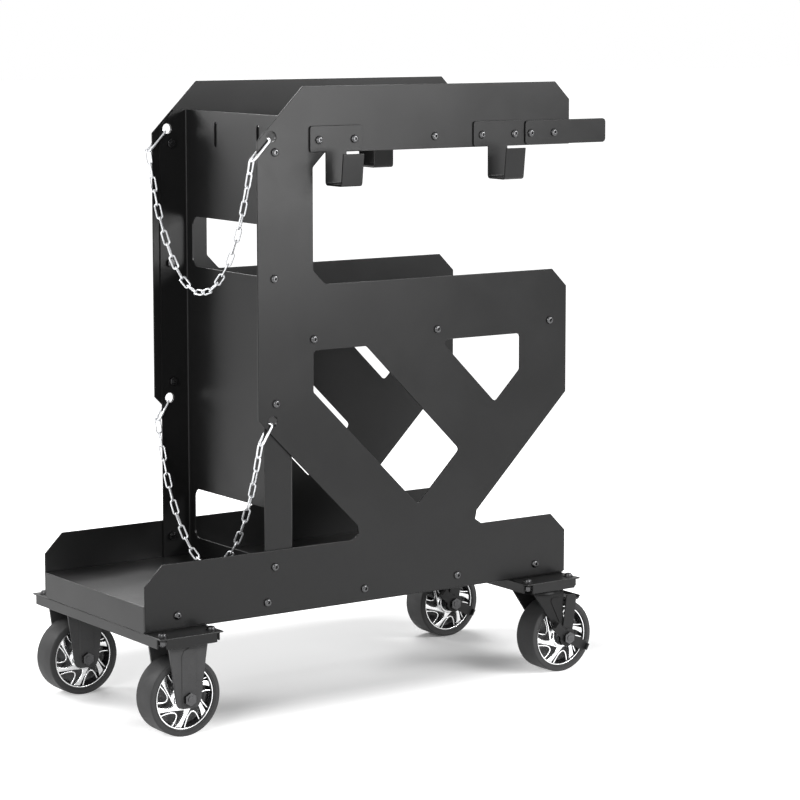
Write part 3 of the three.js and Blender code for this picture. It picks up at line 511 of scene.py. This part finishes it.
def oblong_link(inner_length, inner_width, wire, sides=10, bow_steps=10):
    """A link of round wire, long in X and wide in Y: a ring pulled apart at its middle."""
    bm = bmesh.new()
    bow = (inner_width + wire) / 2
    ring = bmesh.ops.create_circle(bm, segments=sides, radius=wire / 2)["verts"]
    bmesh.ops.rotate(bm, verts=ring, cent=(0, 0, 0), matrix=Matrix.Rotation(math.pi / 2, 3, "X"))
    bmesh.ops.translate(bm, verts=ring, vec=(bow, 0.0, 0.0))
    steps = 2 * bow_steps
    half_step = Matrix.Rotation(math.pi / steps, 3, "Z")
    bmesh.ops.rotate(bm, verts=ring, cent=(0, 0, 0), matrix=half_step)
    bmesh.ops.spin(
        bm,
        geom=bm.verts[:] + bm.edges[:],
        cent=(0.0, 0.0, 0.0),
        axis=(0.0, 0.0, 1.0),
        angle=math.tau,
        steps=steps,
        use_merge=True,
    )
    bmesh.ops.remove_doubles(bm, verts=bm.verts, dist=0.001 * MM)
    bmesh.ops.recalc_face_normals(bm, faces=bm.faces)
    pull = (inner_length - inner_width) / 2
    for vert in bm.verts:
        vert.co.x += math.copysign(pull, vert.co.x)
    return bm


def smooth_all(made):
    """Shades a round piece smooth."""
    made.data.shade_smooth()
    return made


# Fasteners


def button_screw(sizes):
    """A button head with a hexagon socket. It stands on the origin and looks along -Y."""
    bm = bmesh.new()
    steps = 24
    radius = sizes.screw_head / 2
    rise = sizes.screw_rise
    socket = sizes.screw_socket / 2
    mouth = 1.25 * socket
    dome = [(radius * 0.98, 0.0), (radius, 0.09 * rise)]
    dome += [
        (mouth + (radius - mouth) * math.cos(a), rise * (0.09 + 0.91 * math.sin(a)))
        for a in (math.radians(15.0 * step) for step in range(1, 7))
    ]
    verts = [bm.verts.new((r, -y, 0.0)) for r, y in dome]
    edges = [bm.edges.new(pair) for pair in zip(verts, verts[1:])]
    bmesh.ops.spin(
        bm,
        geom=verts + edges,
        cent=(0.0, 0.0, 0.0),
        axis=(0.0, 1.0, 0.0),
        angle=math.tau,
        steps=steps,
        use_merge=True,
    )
    bmesh.ops.remove_doubles(bm, verts=bm.verts, dist=0.001 * MM)
    rim = [e for e in bm.edges if e.is_boundary]
    under = [e for e in rim if max(v.co.y for v in e.verts) > -0.5 * rise]
    bmesh.ops.holes_fill(bm, edges=under, sides=0)
    opening = [e for e in rim if e not in under]
    walls = bmesh.ops.extrude_edge_only(bm, edges=opening)["geom"]
    inner = [v for v in walls if isinstance(v, bmesh.types.BMVert)]
    for vert in inner:
        angle = math.atan2(vert.co.z, vert.co.x) % (math.pi / 3) - math.pi / 6
        reach = socket / math.cos(angle) / math.hypot(vert.co.x, vert.co.z)
        vert.co = Vector((vert.co.x * reach, -0.97 * rise, vert.co.z * reach))
    lip = [e for e in bm.edges if e.is_boundary]
    floor = bmesh.ops.extrude_edge_only(bm, edges=lip)["geom"]
    deep = [v for v in floor if isinstance(v, bmesh.types.BMVert)]
    bmesh.ops.translate(bm, verts=deep, vec=(0.0, 0.6 * rise, 0.0))
    bmesh.ops.holes_fill(bm, edges=[e for e in bm.edges if e.is_boundary], sides=0)
    bmesh.ops.recalc_face_normals(bm, faces=bm.faces)
    return bm


def rounded_prism(bm, segments, radius, low, high, soften):
    """A prism along Y between two heights, with its end edges rounded."""
    made = bmesh.ops.create_cone(
        bm,
        cap_ends=True,
        segments=segments,
        radius1=radius,
        radius2=radius,
        depth=high - low,
        matrix=Matrix.Translation((0.0, (low + high) / 2, 0.0)) @ Matrix.Rotation(math.pi / 2, 4, "X"),
    )
    fresh = set(made["verts"])
    ends = [
        e
        for e in bm.edges
        if set(e.verts) <= fresh and abs(e.verts[0].co.y - e.verts[1].co.y) < 0.01 * MM
    ]
    bmesh.ops.bevel(
        bm, geom=ends, offset=soften, segments=2, profile=0.5, affect="EDGES", clamp_overlap=True, material=-1
    )


def nut_and_end(sizes):
    """A hexagon nut with the screw's end in it. It stands on the origin and looks along +Y."""
    bm = bmesh.new()
    corner = sizes.nut_width / math.sqrt(3)
    shank = sizes.screw_shank / 2
    rounded_prism(bm, 6, corner, 0.0, sizes.nut_height, 0.5 * MM)
    rounded_prism(bm, 20, shank, 0.5 * MM, sizes.nut_height + 2.5 * MM, 0.6 * MM)
    return bm


def washer(sizes):
    """A flat washer that stands on the origin, along -Y."""
    bm = bmesh.new()
    rounded_prism(bm, 28, sizes.washer_width / 2, -sizes.washer_gauge, 0.0, 0.3 * MM)
    return bm


def turned_to(side):
    """Points a fastener that looks along -Y to the given side's outer face."""
    return Matrix.Rotation(math.pi, 4, "Z") if side > 0 else Matrix.Identity(4)


def panel_screw_places(side_name, sizes):
    """Where one side's screws stand: (x, z, height of the outer face from the middle plane)."""
    low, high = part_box(f"{side_name}_side_panel")
    panel_face = max(abs(low.y), abs(high.y))
    rear_low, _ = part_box("rear_panel")
    upright_row = ((17, 78), (21, 350), (18.5, 556.5), (21, 763))
    places = [(rear_low.x + x * MM, low.z + z * MM, panel_face) for x, z in upright_row]
    places += [(low.x + x * MM, low.z + 20 * MM, panel_face) for x in (60, 231, 424, 617, 786)]
    places += [(low.x + x * MM, low.z + 452 * MM, panel_face) for x in (324, 574, 815)]
    arm_row = low.z + 781 * MM
    places.append((low.x + 568.5 * MM, arm_row, panel_face))
    fitting_face = panel_face + sizes.fitting_gap + sizes.fitting_gauge
    for place in ("rear", "front"):
        hook_low, hook_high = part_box(f"{side_name}_{place}_cable_hook")
        middle = (hook_low.x + hook_high.x) / 2
        places += [(middle + x * MM, arm_row, fitting_face) for x in (-34, 35.5)]
    plate_low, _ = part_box(f"{side_name}_handle_plate")
    places += [(plate_low.x + x * MM, arm_row, fitting_face) for x in (11.5, 62.0)]
    return places


def caster_bolt_places(sizes):
    """Where the bolts through the caster bars stand: (x, y) from the middle of each caster's plate."""
    places = []
    for bar in BAR_NODES:
        low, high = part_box(bar)
        middle = (low.x + high.x) / 2
        for side_name in SIDES:
            place = "rear" if bar.startswith("rear") else "front"
            track = JOINTS[f"{side_name}_{place}_wheel_spin"]["pos_m"][1]
            for along in (-0.5, 0.5):
                for across in (-0.5, 0.5):
                    x = middle + along * sizes.plate_bolts_x
                    places.append((x, track + across * sizes.plate_bolts_y))
    return places


# Wheels


def tyre_shape(outer, inner, half, sizes):
    """A tyre with rounded shoulders, a slightly crowned tread and a groove beside its bead."""
    shoulder = sizes.shoulder
    groove = sizes.bead_groove
    crown = 0.4 * MM
    side = [
        (inner, half - 0.4 * MM),
        (inner + 0.4 * MM, half),
        (inner + 1.4 * MM, half),
        (inner + 1.7 * MM, half - groove),
        (inner + 2.5 * MM, half - groove),
        (inner + 2.8 * MM, half),
    ]
    side += arc((outer - crown - shoulder, half - shoulder), shoulder, 90.0, 0.0, 8)
    side.append((outer - 0.3 * crown, 0.4 * half))
    mirrored = [(radius, -y) for radius, y in reversed(side)]
    return turned(side + [(outer, 0.0)] + mirrored, sizes.facets)


def hub_shape(rim, half, boss_half, sizes):
    """Rim, web and boss turned in one piece; the faces in the pockets take the second material."""
    bm = bmesh.new()
    lip = rim - sizes.rim_lip
    boss = sizes.boss_radius
    web = sizes.web_half
    edge = 0.5 * MM
    half_profile = [
        (rim, half - edge),
        (rim - edge, half),
        (lip + edge, half),
        (lip, half - edge),
        (lip - 1.6 * MM, web + 4.0 * MM),
        (lip - 3.2 * MM, web + 1.2 * MM),
        (lip - 6.0 * MM, web),
        (boss + 2.5 * MM, web),
        (boss + 0.6 * MM, web + 1.0 * MM),
        (boss, web + 3.0 * MM),
        (boss, boss_half - 1.0 * MM),
        (boss - 1.0 * MM, boss_half),
        (sizes.boss_radius - sizes.boss_wall, boss_half),
    ]
    mirrored = [(radius, -y) for radius, y in reversed(half_profile)]
    turned(half_profile + mirrored, sizes.facets, bm)
    pocket_top = half - 2.0 * edge
    for face in bm.faces:
        middle = face.calc_center_median()
        radius = math.hypot(middle.x, middle.z)
        in_pocket = boss + edge < radius < lip and abs(middle.y) < pocket_top
        face.material_index = 1 if in_pocket else 0
    return bm


def curve_points(controls, steps):
    """Points on a Bezier curve, from its control points."""
    points = []
    for step in range(steps + 1):
        row = controls
        while len(row) > 1:
            row = [near.lerp(far, step / steps) for near, far in zip(row, row[1:])]
        points.append(row[0])
    return points


def ribbon(line, width):
    """Outline of a strip of even width along a line of points in a plane."""
    ahead = line[1:] + [2 * line[-1] - line[-2]]
    behind = [2 * line[0] - line[1]] + line[:-1]
    sides = [(after - before).orthogonal().normalized() for after, before in zip(ahead, behind)]
    left = [point + side * width / 2 for point, side in zip(line, sides)]
    right = [point - side * width / 2 for point, side in zip(line, sides)]
    return left + right[::-1]


def spoke_outlines(rim, sizes):
    """Outlines of a swept fin and of the thin rib round the pocket beside it, in the plane of the wheel."""
    root = sizes.boss_radius - sizes.boss_wall / 2
    tip = rim - sizes.rim_lip

    def at(share, degrees):
        radius = root + share * (tip - root)
        angle = math.radians(degrees)
        return Vector((radius * math.cos(angle), radius * math.sin(angle)))

    trailing = curve_points([at(0.12, 12.0), at(0.5, 13.0), at(1.02, -8.0)], 10)
    leading = curve_points([at(1.02, 7.0), at(0.45, 20.0), at(0.12, 72.0)], 14)
    root_arc = [at(0.0, 72.0 - 10.0 * step) for step in range(7)]
    rib = curve_points([at(1.02, 13.0), at(0.44, 22.0), at(0.16, 47.0), at(0.35, 56.0), at(1.02, 46.0)], 24)
    return [trailing + leading + root_arc, ribbon(rib, sizes.spoke_rib)]


def spoke_star(rim, face, phase, sizes):
    """All the fins and ribs of a hub, on both of its faces, with rounded edges."""
    bm = bmesh.new()
    for outline, rounding in zip(spoke_outlines(rim, sizes), (sizes.spoke_round, sizes.rib_round)):
        verts = [bm.verts.new((p.x, 1.0 * MM - sizes.web_half, p.y)) for p in outline]
        base = bm.faces.new(verts)
        raised = bmesh.ops.extrude_face_region(bm, geom=[base])["geom"]
        top = {v for v in raised if isinstance(v, bmesh.types.BMVert)}
        bmesh.ops.translate(bm, verts=list(top), vec=(0.0, sizes.web_half - 1.0 * MM - face, 0.0))
        bmesh.ops.bevel(
            bm,
            geom=[e for e in bm.edges if set(e.verts) <= top],
            offset=rounding,
            segments=3,
            profile=0.5,
            affect="EDGES",
            clamp_overlap=True,
            material=-1,
        )
    bmesh.ops.remove_doubles(bm, verts=bm.verts, dist=0.01 * MM)
    bmesh.ops.recalc_face_normals(bm, faces=bm.faces)
    step = math.tau / sizes.spokes
    turns = [Matrix.Rotation(step * i - phase, 4, "Y") for i in range(sizes.spokes)]
    other_face = Matrix.Rotation(math.pi, 4, "Z")
    return scattered(bm, [other_face @ turn for turn in turns] + turns)


def wheel_box(caster):
    """Centre, radius and half width of a caster's wheel, from its tyre."""
    low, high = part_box(f"{caster}_tyre")
    return (low + high) / 2, (high.z - low.z) / 2, (high.y - low.y) / 2


# Chains


def catenary(half_span, half_length):
    """Scale of the catenary that has a half length over a half span."""
    low = half_span / 20
    high = half_span * 20
    for _ in range(60):
        scale = (low + high) / 2
        if scale * math.sinh(half_span / scale) > half_length:
            low = scale
        else:
            high = scale
    return (low + high) / 2


def chain_places(level, sizes):
    """A matrix for each link of a hanging chain; every other link is turned on edge.

    The chain is twisted: its links turn about it from the ends on, and the middle ones hang askew.
    """
    bow_x, _, bow_z = JOINTS[f"{level}_chain_swing"]["pos_m"]
    low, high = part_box(f"{level}_left_connector")
    half_span = (low.y + high.y) / 2
    spacing = sizes.link_length + sizes.link_bite
    first = (sizes.link_length - sizes.connector_wire) / 2 - sizes.hang_gap
    scale = catenary(half_span, first + spacing * (sizes.links - 1) / 2)
    top = scale * math.cosh(half_span / scale)
    places = []
    for i in range(sizes.links):
        along = (i - (sizes.links - 1) / 2) * spacing
        middle = Vector((bow_x, scale * math.asinh(along / scale), bow_z + math.hypot(scale, along) - top))
        slope = Matrix.Rotation(math.atan(along / scale), 4, "X")
        across = Matrix.Rotation(math.pi / 2, 4, "Z")
        from_end = min(i, sizes.links - 1 - i, sizes.twisted)
        twist = sizes.end_twist + (sizes.twist - sizes.end_twist) * from_end / sizes.twisted
        on_edge = Matrix.Rotation(twist + (math.pi / 2 if i % 2 else 0.0), 4, "X")
        places.append(Matrix.Translation(middle) @ slope @ across @ on_edge)
    return places


def connector_shape(node, level, sizes):
    """An oblong ring from the chain's bow up to its hole, in line with its solid."""
    bow_x, _, bow_z = JOINTS[f"{level}_chain_swing"]["pos_m"]
    low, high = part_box(node)
    middle = (low + high) / 2
    rise = Vector((middle.x - bow_x, middle.z - bow_z))
    inner = 2 * rise.length - sizes.connector_wire
    bm = oblong_link(inner, sizes.connector_width, sizes.connector_wire, sides=14, bow_steps=12)
    lean = Matrix.Rotation(-math.atan2(rise.y, rise.x), 4, "Y")
    centre = Matrix.Translation((bow_x + rise.x, middle.y, bow_z + rise.y))
    bmesh.ops.transform(bm, matrix=centre @ lean, verts=bm.verts)
    return bm


# Operators


def sheet_sizes():
    """The sheet and fastener sizes of the open scene."""
    return bpy.context.scene.cart_sheets


class CART_OT_sheets(bpy.types.Operator):
    """Dress the side panels, the rear panel, the base tray and the shelves"""

    bl_idname = "cart.sheets"
    bl_label = "Panels and trays"

    def execute(self, context):
        for node in SHEET_NODES:
            softened(node, sheet_sizes().edge_round, powder_coat())
        return {"FINISHED"}


class CART_OT_fittings(bpy.types.Operator):
    """Dress the cable hooks and the handle plates"""

    bl_idname = "cart.fittings"
    bl_label = "Hooks and handles"

    def execute(self, context):
        for node in HOOK_NODES + HANDLE_NODES:
            softened(node, sheet_sizes().edge_round, powder_coat())
        return {"FINISHED"}


class CART_OT_caster_bars(bpy.types.Operator):
    """Dress the two folded bars that carry the casters"""

    bl_idname = "cart.caster_bars"
    bl_label = "Caster bars"

    def execute(self, context):
        for node in BAR_NODES:
            softened(node, sheet_sizes().edge_round, powder_coat())
        return {"FINISHED"}


class CART_OT_chains(bpy.types.Operator):
    """Make the bottle chains of round links, and the connectors that hang them"""

    bl_idname = "cart.chains"
    bl_label = "Bottle chains"

    def execute(self, context):
        sizes = context.scene.cart_chains
        for level in ("upper", "lower"):
            link = oblong_link(sizes.link_length, sizes.link_width, sizes.link_wire)
            links = scattered(link, chain_places(level, sizes))
            chain = piece(f"{level}_chain_links", links, [zinc_plate()], f"{level}_chain")
            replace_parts(smooth_all(chain), f"{level}_chain")
            for side in SIDES:
                node = f"{level}_{side}_connector"
                ring = connector_shape(node, level, sizes)
                made = piece(f"{node}_ring", ring, [zinc_plate()], BODY_OF[node], [node])
                smooth_all(made)
        return {"FINISHED"}


class CART_OT_tyres(bpy.types.Operator):
    """Make the four tyres"""

    bl_idname = "cart.tyres"
    bl_label = "Tyres"

    def execute(self, context):
        sizes = context.scene.cart_wheels
        for caster in CASTERS:
            centre, outer, half = wheel_box(caster)
            _, hub_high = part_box(f"{caster}_hub")
            inner = hub_high.z - centre.z + sizes.rim_gap
            bm = tyre_shape(outer - TYRE_EASE, inner, half, sizes)
            bmesh.ops.translate(bm, verts=bm.verts, vec=centre)
            node = f"{caster}_tyre"
            made = piece(f"{node}_moulded", bm, [tyre_rubber()], BODY_OF[node], [node])
            smooth_over(made, 35.0)
        return {"FINISHED"}


class CART_OT_hubs(bpy.types.Operator):
    """Make the four hubs: chrome rims and swirl spokes over black pockets"""

    bl_idname = "cart.hubs"
    bl_label = "Hubs"

    def execute(self, context):
        sizes = context.scene.cart_wheels
        for caster in CASTERS:
            centre, _, tyre_half = wheel_box(caster)
            node = f"{caster}_hub"
            low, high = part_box(node)
            rim = (high.z - low.z) / 2
            rim_half = tyre_half - sizes.rim_sink
            rim_bm = hub_shape(rim, rim_half, (high.y - low.y) / 2, sizes)
            phase = sizes.front_phase if caster in SWIVEL_CASTERS else sizes.rear_phase
            star_bm = spoke_star(rim, rim_half - sizes.spoke_sink, phase, sizes)
            for bm in (rim_bm, star_bm):
                bmesh.ops.translate(bm, verts=bm.verts, vec=centre)
            finishes = [chrome_plate(), pocket_black()]
            wheel = piece(f"{node}_rim", rim_bm, finishes, BODY_OF[node], [node])
            star = piece(f"{node}_spokes", star_bm, [chrome_plate()], BODY_OF[node], [node])
            smooth_over(wheel, 50.0)
            smooth_over(star, 40.0)
        return {"FINISHED"}


class CART_OT_forks(bpy.types.Operator):
    """Dress the forks and the swivel plates"""

    bl_idname = "cart.forks"
    bl_label = "Forks"

    def execute(self, context):
        pressings = {f"{caster}_fork": "fixed_fork" for caster in CASTERS}
        for caster in SWIVEL_CASTERS:
            pressings[f"{caster}_fork"] = "swivel_fork"
            pressings[f"{caster}_plate"] = "swivel_fork"
        for node, coat in pressings.items():
            softened(node, sheet_sizes().pressing_round, pressed_steel(coat), 40.0)
        return {"FINISHED"}


class CART_OT_brakes(bpy.types.Operator):
    """Dress the brake levers and the brake shoes"""

    bl_idname = "cart.brakes"
    bl_label = "Brakes"

    def execute(self, context):
        for caster in SWIVEL_CASTERS:
            for node in (f"{caster}_brake_lever", f"{caster}_brake_shoe"):
                softened(node, sheet_sizes().pressing_round, pressed_steel("brake"), 40.0)
        return {"FINISHED"}


class CART_OT_shafts(bpy.types.Operator):
    """Dress the axle bolts, and finish the bearings, spacers, races and kingpins"""

    bl_idname = "cart.shafts"
    bl_label = "Axles and bearings"

    def execute(self, context):
        for caster in CASTERS:
            softened(f"{caster}_axle", sheet_sizes().edge_round, black_screw(), 50.0)
            for part in ("bearing", "spacer"):
                NODES[f"{caster}_{part}"].material_slots[0].material = turned_steel()
        for caster in SWIVEL_CASTERS:
            for part in ("race", "kingpin"):
                softened(f"{caster}_{part}", sheet_sizes().edge_round, turned_steel(), 50.0)
        return {"FINISHED"}


class CART_OT_screws(bpy.types.Operator):
    """Make the button-head screws of both side panels, and the nuts behind them"""

    bl_idname = "cart.screws"
    bl_label = "Panel screws"

    def execute(self, context):
        sizes = sheet_sizes()
        tray_low, tray_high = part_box("base_tray")
        flange_face = (tray_high.y - tray_low.y) / 2 - sizes.tray_gauge
        for side_name, side in SIDES.items():
            turn = turned_to(side)
            places = panel_screw_places(side_name, sizes)
            heads = [Matrix.Translation((x, side * face, z)) @ turn for x, z, face in places]
            ends = [Matrix.Translation((x, side * flange_face, z)) @ turn for x, z, _ in places]
            head_bm = scattered(button_screw(sizes), heads)
            nut_bm = scattered(nut_and_end(sizes), ends)
            screws = piece(f"{side_name}_panel_screws", head_bm, [black_screw()], "frame")
            nuts = piece(f"{side_name}_panel_nuts", nut_bm, [black_screw()], "frame")
            smooth_over(screws, 40.0)
            smooth_over(nuts, 40.0)
        return {"FINISHED"}


class CART_OT_caster_bolts(bpy.types.Operator):
    """Make the bolts through the caster bars, with their washers and nuts"""

    bl_idname = "cart.caster_bolts"
    bl_label = "Caster bolts"

    def execute(self, context):
        sizes = sheet_sizes()
        _, bar_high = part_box("front_caster_bar")
        plate_low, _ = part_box("right_front_caster_plate")
        upright = Matrix.Rotation(-math.pi / 2, 4, "X")
        places = caster_bolt_places(sizes)
        feet = [Matrix.Translation((x, y, bar_high.z)) @ upright for x, y in places]
        lift = Matrix.Translation((0.0, 0.0, sizes.washer_gauge))
        unders = [Matrix.Translation((x, y, plate_low.z)) @ upright for x, y in places]
        parts = {
            "bolts": scattered(button_screw(sizes), [lift @ place for place in feet]),
            "washers": scattered(washer(sizes), feet),
            "nuts": scattered(nut_and_end(sizes), unders),
        }
        for kind, bm in parts.items():
            made = piece(f"caster_{kind}", bm, [black_screw()], "frame")
            smooth_over(made, 40.0)
        return {"FINISHED"}


# Stage


def area_lamp(name, place, aim, size, power):
    """A soft lamp of a width and a height that looks at a point."""
    data = bpy.data.lights.new(name, "AREA")
    data.shape = "RECTANGLE"
    data.size, data.size_y = size
    data.energy = power
    lamp = bpy.data.objects.new(name, data)
    lamp.location = place
    lamp.rotation_euler = (Vector(aim) - Vector(place)).to_track_quat("-Z", "Y").to_euler()
    bpy.context.scene.collection.objects.link(lamp)
    return lamp


def straight_look(tree):
    """The light path's camera ray, and 1 for a ray that comes from the camera straight, mirrored or bent."""
    path = add_node(tree, "ShaderNodeLightPath")
    bent = add_node(tree, "ShaderNodeMath", operation="MAXIMUM")
    either = add_node(tree, "ShaderNodeMath", operation="MAXIMUM")
    tree.links.new(path.outputs["Is Glossy Ray"], bent.inputs[0])
    tree.links.new(path.outputs["Is Transmission Ray"], bent.inputs[1])
    tree.links.new(path.outputs["Is Camera Ray"], either.inputs[0])
    tree.links.new(bent.outputs[0], either.inputs[1])
    return path.outputs["Is Camera Ray"], either.outputs[0]


def floor_material(base, painted_shadow_glow):
    """Pale matt floor that takes the cart's shadow and shows white round a box under the cart, where a lower glow
    paints a soft shadow.
    """
    made = bpy.data.materials.new("studio_floor")
    made.use_nodes = True
    tree = made.node_tree
    shader = tree.nodes["Principled BSDF"]
    shader.inputs["Base Color"].default_value = (*base, 1.0)
    shader.inputs["Roughness"].default_value = 0.9
    shader.inputs["Specular IOR Level"].default_value = 0.1
    shader.inputs["Emission Color"].default_value = (1.0, 1.0, 1.0, 1.0)
    place = add_node(tree, "ShaderNodeTexCoord")
    steps = [
        ("SUBTRACT", PAINTED_SHADOW_CENTRE),
        ("ABSOLUTE", None),
        ("SUBTRACT", PAINTED_SHADOW_HALF),
        ("MAXIMUM", (0.0, 0.0, 0.0)),
    ]
    reached = place.outputs["Object"]
    for operation, operand in steps:
        step = add_node(tree, "ShaderNodeVectorMath", operation=operation)
        tree.links.new(reached, step.inputs[0])
        if operand:
            step.inputs[1].default_value = operand
        reached = step.outputs["Vector"]
    distance = add_node(tree, "ShaderNodeVectorMath", operation="LENGTH")
    # Painted shadow: the glow falls to a low level inside the box under the cart and rises to white across the
    # fade
    glow = add_node(tree, "ShaderNodeMapRange", From_Max=PAINTED_SHADOW_FADE, To_Min=painted_shadow_glow, To_Max=1.0)
    glow.interpolation_type = "SMOOTHSTEP"
    level = add_node(tree, "ShaderNodeMath", operation="MULTIPLY")
    tree.links.new(reached, distance.inputs[0])
    tree.links.new(distance.outputs["Value"], glow.inputs["Value"])
    tree.links.new(glow.outputs[0], level.inputs[0])
    tree.links.new(straight_look(tree)[1], level.inputs[1])
    tree.links.new(level.outputs[0], shader.inputs["Emission Strength"])
    return made


def white_world(level):
    """A surrounding light of one level that shows white to the camera and in reflections."""
    world = bpy.data.worlds.new("studio_world")
    world.use_nodes = True
    tree = world.node_tree
    background = tree.nodes["Background"]
    strength = add_node(tree, "ShaderNodeMapRange", To_Min=level, To_Max=1.0)
    tree.links.new(straight_look(tree)[1], strength.inputs["Value"])
    tree.links.new(strength.outputs[0], background.inputs["Strength"])
    background.inputs["Color"].default_value = (1.0, 1.0, 1.0, 1.0)
    bpy.context.scene.world = world


class CART_OT_stage(bpy.types.Operator):
    """Make the floor, the soft studio light and the camera"""

    bl_idname = "cart.stage"
    bl_label = "Stage"

    def execute(self, context):
        scene = context.scene
        settings = scene.cart_camera
        bm = bmesh.new()
        bmesh.ops.create_grid(bm, x_segments=8, y_segments=8, size=30.0)
        mesh = bpy.data.meshes.new("studio_floor")
        bm.to_mesh(mesh)
        bm.free()
        mesh.materials.append(floor_material(scene.cart_colours.floor, settings.painted_shadow_glow))
        floor = bpy.data.objects.new("studio_floor", mesh)
        scene.collection.objects.link(floor)
        white_world(settings.world_level)
        area_lamp("key_lamp", (-2.2, -1.4, 1.4), (-0.2, 0.0, 0.5), (1.1, 1.1), settings.key_power)
        area_lamp("sheen_lamp", (0.65, -1.9, 0.8), (-0.2, -0.1, 0.8), (0.6, 0.4), settings.sheen_power)
        area_lamp("brow_lamp", (1.3, -1.9, 1.45), (0.0, 0.1, 1.0), (1.0, 0.3), settings.brow_power)
        area_lamp("back_lamp", (0.4, 1.6, 2.0), (-0.1, 0.0, 0.4), (1.6, 1.6), settings.back_power)
        area_lamp("rear_lamp", (-1.6, 2.2, 1.5), (-0.2, 0.0, 0.9), (0.8, 0.8), settings.rear_power)
        data = bpy.data.cameras.new("camera")
        data.lens = settings.lens
        data.shift_x, data.shift_y = settings.shift
        data.clip_end = 200.0
        camera = bpy.data.objects.new("camera", data)
        camera.location = settings.place
        aim = Matrix.Rotation(settings.turn, 3, "Z") @ Matrix.Rotation(settings.tilt, 3, "X")
        camera.rotation_euler = (aim @ Matrix.Rotation(settings.roll, 3, "Z")).to_euler()
        scene.collection.objects.link(camera)
        scene.camera = camera
        scene.view_settings.view_transform = "Standard"
        return {"FINISHED"}


OPERATORS = (
    CART_OT_sheets,
    CART_OT_fittings,
    CART_OT_caster_bars,
    CART_OT_chains,
    CART_OT_tyres,
    CART_OT_hubs,
    CART_OT_forks,
    CART_OT_brakes,
    CART_OT_shafts,
    CART_OT_screws,
    CART_OT_caster_bolts,
    CART_OT_stage,
)


class CART_PT_sidebar(bpy.types.Panel):
    """Lists the cart's operators in the sidebar"""

    bl_idname = "CART_PT_sidebar"
    bl_label = "Welding Cart"
    bl_space_type = "VIEW_3D"
    bl_region_type = "UI"
    bl_category = "Cart"

    def draw(self, context):
        for operator in OPERATORS:
            self.layout.operator(operator.bl_idname)


GROUPS = {
    "cart_sheets": CartSheetSizes,
    "cart_chains": CartChainSizes,
    "cart_wheels": CartWheelSizes,
    "cart_colours": CartColours,
    "cart_camera": CartCamera,
}


def register():
    for group in GROUPS.values():
        bpy.utils.register_class(group)
    for name, group in GROUPS.items():
        setattr(bpy.types.Scene, name, PointerProperty(type=group))
    for operator in OPERATORS:
        bpy.utils.register_class(operator)
    bpy.utils.register_class(CART_PT_sidebar)


def unregister():
    bpy.utils.unregister_class(CART_PT_sidebar)
    for operator in reversed(OPERATORS):
        bpy.utils.unregister_class(operator)
    for name in GROUPS:
        delattr(bpy.types.Scene, name)
    for group in reversed(GROUPS.values()):
        bpy.utils.unregister_class(group)


def main():
    """Builds the dressed cart and its stage."""
    register()
    for operator in OPERATORS:
        _, action = operator.bl_idname.split(".")
        getattr(bpy.ops.cart, action)()


if __name__ == "__main__":
    main()
